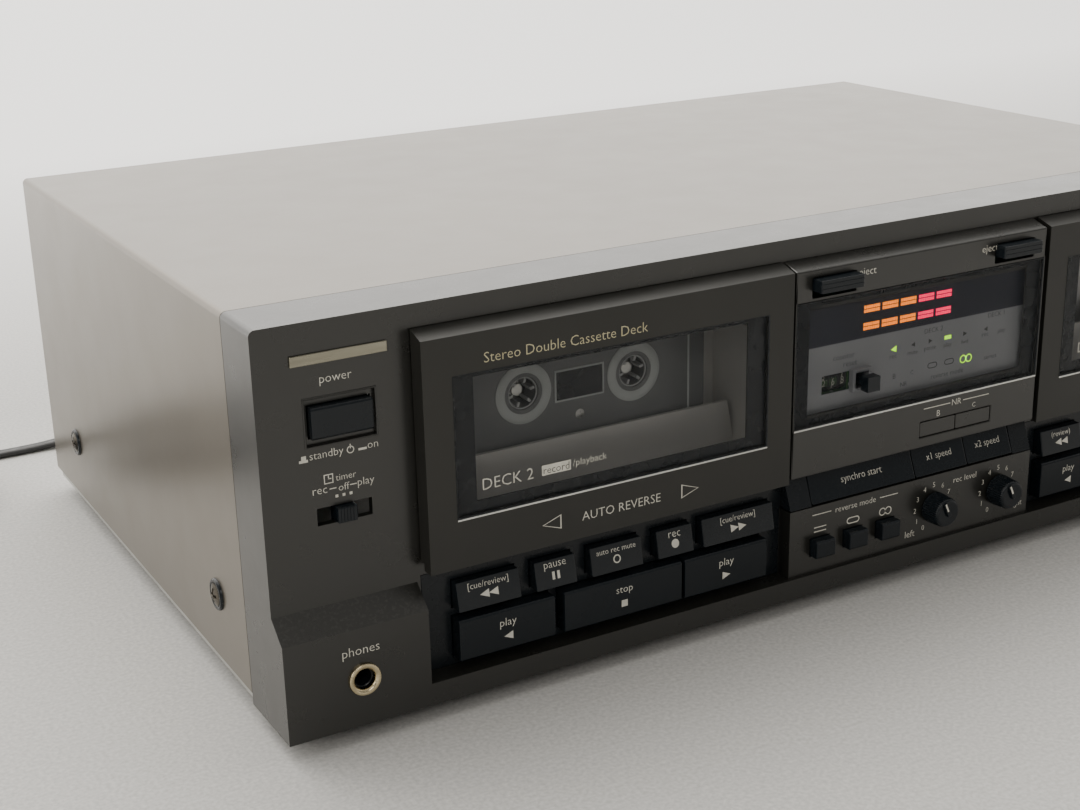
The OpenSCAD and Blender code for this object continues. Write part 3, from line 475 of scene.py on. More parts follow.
# A tapered sleeve with ribs: the radius falls evenly along it, and each rib adds to it.
def addStrainRelief():
    low, high = corners("strain_relief")
    x, z = middle("strain_relief")[0], middle("strain_relief")[2]
    radius, wide = sleeve["radius"], sleeve["flange"]
    flange = low[1] + sleeve["flangeAt"]
    profile = [(0, low[1]), (radius - 0.4, low[1]), (radius, low[1] + 0.4), (radius, flange - 0.2),
               (wide - 0.3, flange), (wide, flange + 0.3), (wide, flange + 1.8), (wide - 0.4, flange + 2.3),
               (radius + 0.7, flange + 2.5)]
    start = flange + 3
    place = np.linspace(start, high[1] - 1, 57)
    share = (place - start) / (place[-1] - start)
    rib = sleeve["ribHeight"] * (np.cos(share * 2 * math.pi * sleeve["ribs"]) > sleeve["ribShare"])
    profile += list(zip(radius - sleeve["taper"] * share + rib, place))
    profile += [(3.7, high[1] - 0.4), (3.4, high[1]), (0, high[1])]
    piece = addPiece("strainReliefSleeve", turned(profile, (x, 0, z)), finishes["cord"], "casing")
    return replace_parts(piece, "strain_relief")


plugForm = dict(
    along=[0, 0.5, 4, 10, 15, 19, 22, 24, 26, 28],  # places along the body, then its half sizes there
    wide=[10.4, 11.1, 11.4, 11.4, 11.2, 9.2, 6.4, 5.0, 4.6, 4.2],
    tall=[6.6, 7.2, 7.45, 7.45, 7.3, 6.2, 4.9, 4.0, 3.6, 3.2],
    gripPitch=2.4, gripDepth=0.35, grip=(5, 14), rings=85, around=48,
    bladeLength=17, bladePitch=12.7, bladeThick=1.5, bladeWidth=6.4)


# A moulded plug: rounded sections, |x/w|³ + |z/h|³ = 1, whose half sizes w and h follow a
# table along its length, with grip ribs, and two flat blades.
def addPlug():
    face = corners("mains_plug")[0][1] + plugForm["bladeLength"]
    x, z = middle("mains_plug")[0], middle("mains_plug")[2]
    around, grip = plugForm["around"], plugForm["grip"]
    place = np.linspace(0, plugForm["along"][-1], plugForm["rings"])
    w, h = (np.interp(place, plugForm["along"], plugForm[size]) for size in ("wide", "tall"))
    wave = np.sin(place * 2 * math.pi / plugForm["gripPitch"]) > 0.3
    w = w - plugForm["gripDepth"] * wave * (place > grip[0]) * (place < grip[1])
    f = np.linspace(0, 2 * math.pi, around, endpoint=False)
    cos, sin = np.cos(f), np.sin(f)
    cx, sz = np.sign(cos) * np.abs(cos) ** 0.667, np.sign(sin) * np.abs(sin) ** 0.667
    body = np.stack([x + w[:, None] * cx, face + place[:, None] + 0 * cx, z + h[:, None] * sz], -1)
    faces = gridFaces(len(place), around, closeColumns=True).tolist()
    last = (len(place) - 1) * around
    faces += [list(range(around)), list(range(last + around - 1, last - 1, -1))]
    piece = addPiece("plugBody", (body.reshape(-1, 3), faces), finishes["cord"], "casing")
    blades = []
    half, thick = plugForm["bladeWidth"] / 2, plugForm["bladeThick"] / 2
    tip = face - plugForm["bladeLength"]
    outline = np.array([(face + 0.2, -half), (tip + 1.8, -half), (tip + 0.4, 1.3 - half), (tip, 0),
                        (tip + 0.4, half - 1.3), (tip + 1.8, half), (face + 0.2, half)])
    for side in (-1, 1):
        bx = x + side * plugForm["bladePitch"] / 2
        sheet = [np.column_stack([np.full(7, bx + t), outline[:, 0], z + outline[:, 1]])
                 for t in (-thick, thick)]
        rim = [[k, (k + 1) % 7, (k + 1) % 7 + 7, k + 7] for k in range(7)]
        blades.append((np.concatenate(sheet), rim + [list(range(7)), list(range(13, 6, -1))]))
    metal = addPiece("plugBlades", joined(blades), finishes["brass"], "casing",
                     smooth=False, bevel=0.15)
    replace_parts(piece, "mains_plug")
    return piece, metal


leadPiece, leadLine = addLead()
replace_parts(leadPiece, "mains_cord", "cord_coil")
relief = addStrainRelief()
plug, blades = addPlug()
print("lead, relief and plug placed")


# finishes of the CAD parts

edges = dict(front=0.45, keys=0.35, glass=0.2, metal=0.15)
edgeFrom = 0.6  # faces that meet at more than this angle, in radians, make an edge
looksOf = {
    "top_cover": ("cover", "sheet"), "bottom_chassis": ("zinc", "sheet"), "rear_panel": ("zinc", "sheet"),
    "front_panel": ("front", "front"), "key_bezel": ("bezel", "keys"), "centre_fascia": ("front", "front"),
    "display_window": ("display", "glass"), "display_board": ("board", "metal"),
    "main_board": ("board", "metal"), "line_sockets": ("chrome", "metal"),
    "mechanism_frames": ("zinc", "metal"), "cassette_door_2": ("door", "front"),
    "cassette_door_1": ("door", "front"), "door_window_2": ("smoked", "glass"),
    "door_window_1": ("smoked", "glass"), "cassette": ("shell", "keys"), "nr_b_key": ("front", "keys"),
    "nr_c_key": ("front", "keys"), "counter_wheel": ("wheel", "metal"), "phones_socket": ("brass", "metal"),
    "timer_slider": ("keys", "keys"), "feet": ("rubber", "metal"), "cover_screws": ("keys", "metal")}


# Gives a CAD part its finish and, by modifiers alone, softly rounded edges.
def finishNode(name, piece):
    metal = name.startswith(("spindle", "flywheel", "head_plate"))
    finish, edge = looksOf.get(name, ("zinc", "metal") if metal else ("keys", "keys"))
    piece.data.materials.clear()
    piece.data.materials.append(finishes[finish])
    if edge == "sheet":
        return
    weld = piece.modifiers.new("weld", "WELD")
    weld.merge_threshold = 1e-6
    bevel = piece.modifiers.new("edges", "BEVEL")
    bevel.width = edges[edge] * mm
    bevel.segments = 2
    bevel.limit_method = "ANGLE"
    bevel.angle_limit = edgeFrom
    even = piece.modifiers.new("normals", "WEIGHTED_NORMAL")
    even.weight = 100
    even.keep_sharp = True


for nodeName, nodePiece in nodes.items():
    finishNode(nodeName, nodePiece)
print("CAD parts finished")


# knobs, socket ring, screws, feet

knob = dict(ridges=40, ridgeDepth=0.14, shaft=2.9, gap=0.4, pointerHalf=0.75, tickHalf=0.34, tickFrom=1.2,
            pointerTurn=-25)  # the stored setting, anticlockwise of straight up


# A turned knob: its skirt has fine ridges, radius + depth·cos(ridges·angle), and its cap
# carries a raised pointer with a white tick.
def addKnob(node):
    low, high = corners(node)
    x, z = middle(node)[0], middle(node)[2]
    radius = (high[0] - low[0]) / 2
    front = low[1] + 0.8
    back = knobFace - knob["gap"]
    profile = [(0, high[1]), (knob["shaft"], high[1]), (knob["shaft"], back), (radius - 0.25, back),
               (radius - 0.12, back - 0.25), (radius - 0.15, back - 0.8), (radius - 0.55, front + 1.2),
               (radius - 0.7, front + 0.5), (radius - 1.0, front + 0.12), (radius - 1.5, front),
               (radius - 2.2, front + 0.12), (0, front + 0.18)]

    def ridges(a, place):
        skirt = (place < back - 0.3) & (place > front + 0.9)
        return skirt * knob["ridgeDepth"] * np.cos(knob["ridges"] * a)

    skin = turned(profile, (x, 0, z), around=320, wave=ridges)
    turn = math.radians(knob["pointerTurn"])

    def onFace(points):
        points = np.array(points, float)
        across = points[:, 0] * math.cos(turn) + points[:, 2] * math.sin(turn)
        up = points[:, 2] * math.cos(turn) - points[:, 0] * math.sin(turn)
        return np.stack([x + across, points[:, 1], z + up], -1)

    half, thin, start = knob["pointerHalf"], knob["tickHalf"], knob["tickFrom"]
    ridge = slab((-half, low[1] + 0.02, -start), (half, front + 0.4, radius - 1.25))
    tick = slab((-thin, low[1] - 0.02, start), (thin, low[1] + 0.3, radius - 1.4))
    piece = addPiece(node + "Cap", skin, finishes["keys"], node)
    pointer = addPiece(node + "Pointer", (onFace(ridge[0]), ridge[1]), finishes["keys"], node,
                       smooth=False, bevel=0.18)
    mark = addPiece(node + "Tick", (onFace(tick[0]), tick[1]), finishes["cream"], node,
                    smooth=False, bevel=0.03)
    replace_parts(piece, node)
    return piece, pointer, mark


for knobNode in ("level_knob_left", "level_knob_right"):
    addKnob(knobNode)


phones = dict(bore=3.25, barrel=4.6, flange=5.4, depth=1.2, sleeve=11)


# A flared ring round the bore: a quarter-round lip that rolls into a dark tube.
def addPhonesRing():
    low, high = corners("phones_socket")
    x, z = middle("phones_socket")[0], middle("phones_socket")[2]
    face, bore, barrel, flange = low[1], phones["bore"], phones["barrel"], phones["flange"]
    behind = face + phones["depth"]
    lip = [(flange - 0.35 * (1 - math.cos(t)), face + 0.9 - 0.9 * math.sin(t))
           for t in np.linspace(0, math.pi / 2, 6)]
    roll = [(barrel - 1.3 * math.sin(t), face + 1.5 * (1 - math.cos(t)))
            for t in np.linspace(0, math.pi / 2, 8)]
    profile = [(barrel, high[1]), (barrel, behind), (flange, behind)] + lip + roll
    profile += [(bore, face + 2.2), (bore, high[1] - 2), (0, high[1] - 2), (0, high[1])]
    ring = addPiece("phonesRing", turned(profile, (x, 0, z), around=64), finishes["brass"], "casing")
    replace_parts(ring, "phones_socket")
    end = face + phones["sleeve"]
    tube = [(bore - 0.02, face + 2.4), (bore - 0.3, face + 2.6), (bore - 0.3, end), (0, end + 0.2),
            (0, end + 1), (bore - 0.02, end + 1)]
    addPiece("phonesSleeve", turned(tube, (x, 0, z)), finishes["bezel"], "casing")


addPhonesRing()


cross = dict(around=72, rows=26, fall=0.55, arm=0.13, reach=0.62, deep=0.6)  # shares of radius and height


# A domed screw head with a cross recess: its height is height·(1 − fall·(r/radius)²), and the
# recess lies where u or v, the distances from the cross's arms, is under arm·radius.
def crossScrew(centre, out, radius, height, axis):
    around, rows = cross["around"], cross["rows"]
    r = np.linspace(0, radius, rows)[:, None]
    a = np.linspace(0, 2 * math.pi, around, endpoint=False)[None, :]
    u, v = r * np.cos(a), r * np.sin(a)
    dome = height * (1 - cross["fall"] * (r / radius) ** 2) + 0 * a
    arm = cross["arm"] * radius
    cut = ((np.abs(u) < arm) | (np.abs(v) < arm)) & (r < cross["reach"] * radius)
    dome = np.where(cut, dome - cross["deep"] * height, dome)
    skirt = np.stack([u[-1:], v[-1:], 0 * u[-1:]], -1)
    top = np.concatenate([np.stack([u, v, dome], -1), skirt])
    flat = np.stack([0 * u[-1:], 0 * v[-1:], 0 * u[-1:]], -1)
    top = np.concatenate([top, flat]).reshape(-1, 3)
    if axis == "x":
        points = np.stack([out * top[:, 2], top[:, 0], top[:, 1]], -1)
    else:
        points = np.stack([top[:, 0], out * top[:, 2], top[:, 1]], -1)
    return points + np.array(centre, float), gridFaces(rows + 2, around, closeColumns=True)


coverScrew = dict(
    head=3.9, height=1.45, washer=5.5, seat=0.3,
    cup=[(3.6, 0.0), (5.5, 0.0), (5.45, 0.5), (5.1, 0.95), (4.6, 1.05), (4.2, 0.85), (3.9, 0.4),
         (3.6, 0.35), (3.6, 0.0)])  # radius and height of the cup washer


# Four screws with cup washers: the washer is a turned ring with a rounded, raised rim.
def addCoverScrews():
    low, high = corners("cover_screws")
    coverLow, coverHigh = corners("top_cover")
    z = middle("cover_screws")[2]
    heads, cups = [], []
    for x, out in ((coverLow[0], -1), (coverHigh[0], 1)):
        for y in (low[1] + coverScrew["washer"], high[1] - coverScrew["washer"]):
            seat = (x + out * coverScrew["seat"], y, z)
            heads.append(crossScrew(seat, out, coverScrew["head"], coverScrew["height"], "x"))
            profile = [(r, x + out * h) for r, h in coverScrew["cup"]]
            cups.append(turned(profile, (0, y, z), axis="x"))
    piece = addPiece("coverScrewHeads", joined(heads), finishes["bronze"], "casing",
                     angle=25)
    addPiece("coverScrewCups", joined(cups), finishes["keys"], "casing")
    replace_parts(piece, "cover_screws")


addCoverScrews()


footForm = dict(radius=12.0, step=4.2, padRise=1.3)


# Four turned feet: a moulded cup with a stepped side and a rubber pad pressed into it.
def addFeet():
    low, high = corners("feet")
    radius, step, rise = (footForm[size] for size in ("radius", "step", "padRise"))
    cup = [(0, high[2]), (radius - 0.2, high[2]), (radius, high[2] - 0.4), (radius, step),
           (radius - 0.7, step - 0.6), (radius - 0.9, 1.2), (radius - 1.4, 0.7), (radius - 2.6, 0.7),
           (radius - 2.8, rise), (0, rise)]
    pad = [(0, rise + 0.1), (radius - 3, rise + 0.1), (radius - 3, 0.35), (radius - 3.35, 0.05),
           (radius - 3.8, 0.0), (radius - 5, 0.0), (radius - 5.2, 0.25), (radius - 6, 0.25),
           (radius - 6.2, 0.0), (0, 0.0)]
    cups, pads = [], []
    for x in (low[0] + radius, high[0] - radius):
        for y in (low[1] + radius, high[1] - radius):
            cups.append(turned(cup, (x, y, 0), axis="z"))
            pads.append(turned(pad, (x, y, 0), axis="z"))
    piece = addPiece("feetCups", joined(cups), finishes["bezel"], "casing")
    addPiece("feetPads", joined(pads), finishes["rubber"], "casing")
    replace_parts(piece, "feet")


addFeet()
print("knobs, ring, screws and feet made")


# prints: lettering and signs, a hair proud of what carries them

printThick = 0.05
printSink = 0.015  # how far a print reaches into what carries it
strokeThinning = -0.012
printLots = {}
wordStore = {}


# The outline of some words as a thin solid: points (across, up, depth 0 to 1) and faces.
def wordShape(words):
    if words not in wordStore:
        curve = bpy.data.curves.new("words", "FONT")
        curve.body, curve.size, curve.resolution_u, curve.extrude = words, 1, 2, 0.5
        curve.offset = strokeThinning
        holder = bpy.data.objects.new("words", curve)
        bpy.context.scene.collection.objects.link(holder)
        solid = holder.evaluated_get(bpy.context.evaluated_depsgraph_get())
        mesh = solid.to_mesh()
        points = np.empty(len(mesh.vertices) * 3)
        mesh.vertices.foreach_get("co", points)
        faces = [list(p.vertices) for p in mesh.polygons]
        solid.to_mesh_clear()
        bpy.data.objects.remove(holder)
        points = points.reshape(-1, 3)
        low, high = points.min(0), points.max(0)
        points[:, :2] -= (low[:2] + high[:2]) / 2
        points[:, 2] += 0.5
        wordStore[words] = (points, faces, (high - low)[0])
    return wordStore[words]


# A thin solid over a flat outline, or between an outline and a hole with as many points.
def prism(outline, hole=None):
    outline = np.array(outline, float)
    n = len(outline)
    loops = [outline] if hole is None else [outline, np.array(hole, float)]
    points = np.concatenate([np.column_stack([loop, np.full(n, depth)])
                             for depth in (0, 1) for loop in loops])
    k = np.arange(n)
    m = (k + 1) % n
    if hole is None:
        sides = np.stack([k, m, m + n, k + n], -1).tolist()
        return points, sides + [k[::-1].tolist(), (k + n).tolist()]
    quads = [np.stack([k + a, m + a, m + b, k + b], -1)
             for a, b in ((0, n), (n, 3 * n), (3 * n, 2 * n), (2 * n, 0))]
    return points, np.concatenate(quads).tolist()


# Carries a print to a place on an upright face at y, which looks to the front.
def onFlat(x, z, y):
    def carry(points):
        return np.stack([x + points[:, 0], y + printSink - points[:, 2] * printThick, z + points[:, 1]], -1)
    return carry


# The same on a face that leans back by slope above its foot.
def onLean(x, z, y, foot, slope):
    def carry(points):
        height = z + points[:, 1]
        face = y + slope * (height - foot)
        return np.stack([x + points[:, 0], face + printSink - points[:, 2] * printThick, height], -1)
    return carry


def addPrint(body, ink, shape, carry):
    points, faces = shape[0], shape[1]
    printLots.setdefault((body, ink), []).append((carry(np.array(points, float)), faces))


# Words fitted to a width, in their own proportions times tall.
def write(words, width, carry, body="casing", ink="cream", tall=1.0):
    points, faces, natural = wordShape(words)
    size = width / natural
    addPrint(body, ink, (points * np.array([size, size * tall, 1]), faces), carry)


# Figures at a size of type, so that a narrow one stays as high as the rest.
def figure(words, size, carry, body="casing", ink="cream", tall=1.0):
    write(words, wordShape(words)[2] * size, carry, body, ink, tall)


def arc(centre, radius, start, end, count):
    a = np.radians(np.linspace(start, end, count))
    return np.column_stack([centre[0] + radius * np.cos(a), centre[1] + radius * np.sin(a)])


def triangle(width, height, way=1, shift=0.0):
    return np.array([(shift + way * width / 2, 0), (shift - way * width / 2, height / 2),
                     (shift - way * width / 2, -height / 2)])[::way]


def bar(width, height, x=0.0, z=0.0):
    return np.array([(x - width / 2, z - height / 2), (x + width / 2, z - height / 2),
                     (x + width / 2, z + height / 2), (x - width / 2, z + height / 2)])


# The outline drawn as a line: the hole is the outline drawn in towards its middle.
def ringOf(outline, stroke):
    outline = np.array(outline, float)
    centre = (outline.max(0) + outline.min(0)) / 2
    half = (outline.max(0) - outline.min(0)) / 2
    return prism(outline, centre + (outline - centre) * (1 - stroke / half))


# A long loop with half-round ends.
def loopOutline(width, height, x=0.0):
    r = height / 2
    return np.concatenate([arc((x + width / 2 - r, 0), r, -90, 90, 12),
                           arc((x - width / 2 + r, 0), r, 90, 270, 12)])


signs = {
    "back2": [prism(triangle(3.3, 2.7, -1, -1.65)), prism(triangle(3.3, 2.7, -1, 1.65))],
    "ahead2": [prism(triangle(3.3, 2.7, 1, -1.65)), prism(triangle(3.3, 2.7, 1, 1.65))],
    "back": [prism(triangle(3.3, 2.8, -1))],
    "ahead": [prism(triangle(3.3, 2.8, 1))],
    "pause": [prism(bar(0.95, 2.6, -0.95)), prism(bar(0.95, 2.6, 0.95))],
    "stop": [prism(bar(2.4, 2.4))],
    "record": [prism(arc((0, 0), 1.5, 0, 345, 24))],
    "mute": [ringOf(arc((0, 0), 1.45, 0, 345, 24), 0.42)],
    "oneSide": [prism(bar(5.4, 0.36, 0, 0.8)), prism(bar(5.4, 0.36, 0, -0.8))],
    "bothSides": [ringOf(loopOutline(5.8, 2.5), 0.38)],
    "loop": [ringOf(arc((-1.35, 0), 1.55, 0, 345, 24), 0.38),
             ringOf(arc((1.35, 0), 1.55, 0, 345, 24), 0.38)],
    "buttonOut": [prism(bar(2.8, 0.8, 0, -0.8)), prism(bar(1.5, 1.3, 0.1, 0.2))],
    "buttonIn": [prism(bar(2.7, 0.7, 0, -0.5))],
    "mains": [ringOf(arc((0, 0), 1.2, 0, 345, 24), 0.3), prism(bar(0.32, 1.4, 0, 1.1))],
    "clock": [ringOf(bar(3.0, 3.0), 0.3), prism(bar(0.3, 1.2, 0, 0.5)), prism(bar(1.0, 0.3, 0.4, 0))],
    "dash": [prism(bar(2.2, 0.3))],
    "dot": [prism(bar(0.9, 0.9))],
    "line": [prism(bar(8.4, 0.3))],
    "longLine": [prism(bar(12.6, 0.3))],
}


def sign(name, carry, body="casing", ink="cream"):
    for shape in signs[name]:
        addPrint(body, ink, shape, carry)


# legends of the function keys: words, their width and height over the key's middle, then the sign
keyLegends = dict(
    rewind=("[cue/review]", 14.6, "back2"), pause=("pause", 8.2, "pause"),
    rec_mute=("auto rec mute", 15.2, "mute"), record=("rec", 4.8, "record"),
    forward=("[cue/review]", 14.6, "ahead2"), play_reverse=("play", 6.0, "back"),
    stop=("stop", 6.4, "stop"), play_forward=("play", 6.0, "ahead"))
legendRise = dict(upper=(0.76, 0.43), lower=(0.67, 0.35))  # words and sign, as shares of a key's height
lipOver = 0.9  # the keys' hidden lips reach this far past their faces
upperLean = 2  # the upper keys lean back this far


def legendKeys():
    for kind, (words, width, mark) in keyLegends.items():
        for deck in (2, 1):
            node = f"{kind}_key_{deck}"
            if node not in nodes:
                continue
            low, high = corners(node)
            x, foot = (low[0] + high[0]) / 2, low[2] + lipOver
            upper = kind in ("rewind", "pause", "rec_mute", "record", "forward")
            rise = high[2] - lipOver - foot
            slope = upperLean / rise if upper else 0
            text = words if deck == 2 or not upper else "(review)" if kind == "rewind" else "(cue)"
            fit = width if text == words else width * len(text) / len(words)
            wordZ, markZ = (foot + rise * share for share in legendRise["upper" if upper else "lower"])
            write(text, fit, onLean(x, wordZ, low[1], foot, slope), node)
            sign(mark, onLean(x, markZ, low[1], foot, slope), node)


dial = dict(start=-150, step=30, radius=8.7, type=2.9)  # figures 0 to 10 round each knob
bandLean = 4.6


bandLegends = dict(
    keys=(("synchro_start_key", "synchro start", 18.6), ("speed_x1_key", "x1 speed", 12.0),
          ("speed_x2_key", "x2 speed", 12.0)),
    signsUp=6.4, title=18.4, titleAt=(1, 12.2), lines=(-14.4, 16.4), level=11.2, levelAt=(-0.8, 8.4),
    sides=(("left", 4.6, -10.6, -8.6), ("right", 5.8, 10.6, -8.6)))


# Legends of the leaning synchro and speed keys, over the reverse mode keys and round the knobs.
def legendBand():
    for node, words, width in bandLegends["keys"]:
        low, high = corners(node)
        foot = low[2] + lipOver
        rise = high[2] - lipOver - foot
        write(words, width, onLean((low[0] + high[0]) / 2, foot + rise * 0.5, low[1], foot,
                                   bandLean / rise), node)
    one, both, loop = (middle(f"reverse_{k}_key") for k in ("one_side", "both_sides", "loop"))
    for place, name in ((one, "oneSide"), (both, "bothSides"), (loop, "loop")):
        sign(name, onFlat(place[0], place[2] + bandLegends["signsUp"], knobFace))
    across, up = bandLegends["titleAt"]
    write("reverse mode", bandLegends["title"], onFlat(both[0] + across, both[2] + up, knobFace))
    for offset in bandLegends["lines"]:
        sign("line", onFlat(both[0] + offset, both[2] + up, knobFace))
    knobs = middle("level_knob_left"), middle("level_knob_right")
    across, up = bandLegends["levelAt"]
    write("rec level", bandLegends["level"], onFlat((knobs[0][0] + knobs[1][0]) / 2 + across,
                                                    knobs[0][2] + up, knobFace))
    for centre, (words, width, across, up) in zip(knobs, bandLegends["sides"]):
        write(words, width, onFlat(centre[0] + across, centre[2] + up, knobFace))
    for centre in knobs:
        for digit in range(11):
            turn = math.radians(dial["start"] + dial["step"] * digit)
            place = (centre[0] + dial["radius"] * math.sin(turn),
                     centre[2] + dial["radius"] * math.cos(turn))
            figure(str(digit), dial["type"], onFlat(*place, knobFace))


# legends round a control: words with their width, or a sign with no width, then places across and up
columnLegends = dict(
    power_button=[
        ("power", 10.2, -0.8, 12.2), ("buttonOut", None, -12.6, -10.6), ("standby", 10.8, -5.2, -10.6),
        ("mains", None, 2.5, -10.6), ("buttonIn", None, 6.4, -10.6), ("on", 3.4, 9.8, -10.6)],
    timer_slider=[
        ("clock", None, -4.6, 11.6), ("timer", 6.6, 1.0, 11.4), ("rec", 4.6, -7.6, 8.2),
        ("off", 3.5, 0.2, 8.2), ("play", 5.4, 7.4, 8.2), ("dash", None, -3.4, 8.3), ("dash", None, 3.2, 8.3),
        ("dot", None, -2.3, 5.6), ("dot", None, 0, 5.6), ("dot", None, 2.3, 5.6)],
    phones_socket=[("phones", 12.4, -0.6, 9.6)])


def legendLeftColumn():
    for node, legends in columnLegends.items():
        x, _, z = middle(node)
        face = apronFace if node == "phones_socket" else panelFace
        for what, width, across, up in legends:
            place = onFlat(x + across, z + up, face)
            if width:
                write(what, width, place)
            else:
                sign(what, place)


doorLegends = dict(
    title="Stereo Double Cassette Deck", titleWide=59, titleAt=(50.5, -10.8),
    arrow=(7.0, 5.0, 0.42), arrows=((-1, -25.8), (1, 27.5)), arrowsUp=8.6, reverse=30.2, reverseAt=(0.6, 8.5),
    rowUp=9.7, rowStart=9.0, deck=18.0, block=(10.6, 3.4), blockAt=26.4, record=9.4,
    playbackAt=38.8, playback=12.6, playbackOnly=12.0)


# Titles and signs on the doors, and the deck numbers on their windows.
def legendDoors():
    says = doorLegends
    for deck in (2, 1):
        body = f"door_{deck}"
        low, high = corners(f"cassette_door_{deck}")
        face = low[1]
        windowLow = corners(f"door_window_{deck}")[0]
        windowFace = windowLow[1]
        x = (low[0] + high[0]) / 2
        if deck == 2:
            across, down = says["titleAt"]
            write(says["title"], says["titleWide"], onFlat(low[0] + across, high[2] + down, face), body,
                  "gold")
        wide, tall, stroke = says["arrow"]
        for way, offset in says["arrows"]:
            outline = ringOf(triangle(wide, tall, way), stroke)
            addPrint(body, "cream", outline, onFlat(x + offset, low[2] + says["arrowsUp"], face))
        across, up = says["reverseAt"]
        write("AUTO REVERSE", says["reverse"], onFlat(x + across, low[2] + up, face), body)
        row = windowLow[2] + says["rowUp"]
        start = windowLow[0] + says["rowStart"]
        write(f"DECK {deck}", says["deck"], onFlat(start + says["deck"] / 2, row, windowFace), body)
        middleX = start + says["blockAt"]
        if deck == 2:
            addPrint(body, "cream", prism(bar(*says["block"])), onFlat(middleX, row, windowFace))
            raised = onFlat(middleX, row, windowFace - printThick)
            write("record", says["record"], raised, body, "dark")
            write("/playback", says["playback"], onFlat(start + says["playbackAt"], row, windowFace), body)
        else:
            write("playback", says["playbackOnly"], onFlat(middleX, row, windowFace), body)


fasciaLegends = dict(eject=7.4, ejectAt=((2, 14.2), (1, -12.2)), ejectUp=1, reduction=4.4, reductionUp=5.2,
                     lines=(-9.4, 9.4), letter=1.5, letterDown=2.8)


def legendFascia():
    says = fasciaLegends
    fasciaFace = corners("centre_fascia")[0][1]
    for deck, offset in says["ejectAt"]:
        x, _, z = middle(f"eject_lever_{deck}")
        write("eject", says["eject"], onFlat(x + offset, z + says["ejectUp"], fasciaFace))
    low, _ = corners("nr_b_key")
    _, high = corners("nr_c_key")
    x, z = (low[0] + high[0]) / 2, high[2] - lipOver + says["reductionUp"]
    write("NR", says["reduction"], onFlat(x, z, fasciaFace))
    for offset in says["lines"]:
        sign("longLine", onFlat(x + offset, z, fasciaFace))
    for words, node in (("B", "nr_b_key"), ("C", "nr_c_key")):
        write(words, says["letter"], onFlat(middle(node)[0], z - says["letterDown"], fasciaFace))


legendKeys()
legendBand()
legendLeftColumn()
legendDoors()
legendFascia()
print("legends drawn")


# display: plate, meters and signs behind the window

display = dict(bars=5, orange=3, barWidth=6.9, pitch=8.3, dashes=7, dashGap=0.28, rows=(101.4, 95.1),
               firstBar=7.2, plateFront=3.4, plateThick=0.5, plateSide=3.4, shadeFrom=91,
               dashLift=0.72, dashHalf=0.55, wheelsWide=12.4, wheelsHalf=3.4, resetHole=2.9, collar=4.1)


# marks on the plate: places across, and up from the panel's foot
plateLegends = dict(
    lit=((triangle(2.6, 2.4, -1), 21.5, 84.4), (bar(3.2, 1.4), 46.9, 84.6)), litLoop=(56.3, 74.9),
    arrows=((30.5, -1), (38.7, 1), (55.2, 1), (65.2, -1)), arrowsUp=84.6, loops=(40.2, 48.2), loopsUp=75.2,
    words=(("DECK 2", 40, 88.6, 8.6), ("DECK 1", 70, 89.6, 8.0), ("counter", -1, 85.6, 9.6),
           ("reset", 2, 82.6, 6.0), ("rec", 21.5, 81.6, 3.2), ("mute", 30.5, 81.6, 4.6),
           ("pause", 38.7, 81.6, 5.4), ("play", 47, 81.6, 3.6), ("fwd", 55.2, 81.6, 3.2),
           ("rec", 65.2, 82.4, 3.2), ("play", 73.2, 82.6, 3.6), ("B", 22.4, 74.2, 1.3),
           ("C", 30.6, 74.2, 1.3), ("NR", 27, 70.4, 3.2), ("reverse mode", 47.6, 70.8, 15.4),
           ("series", 68.4, 73.6, 6.2)))


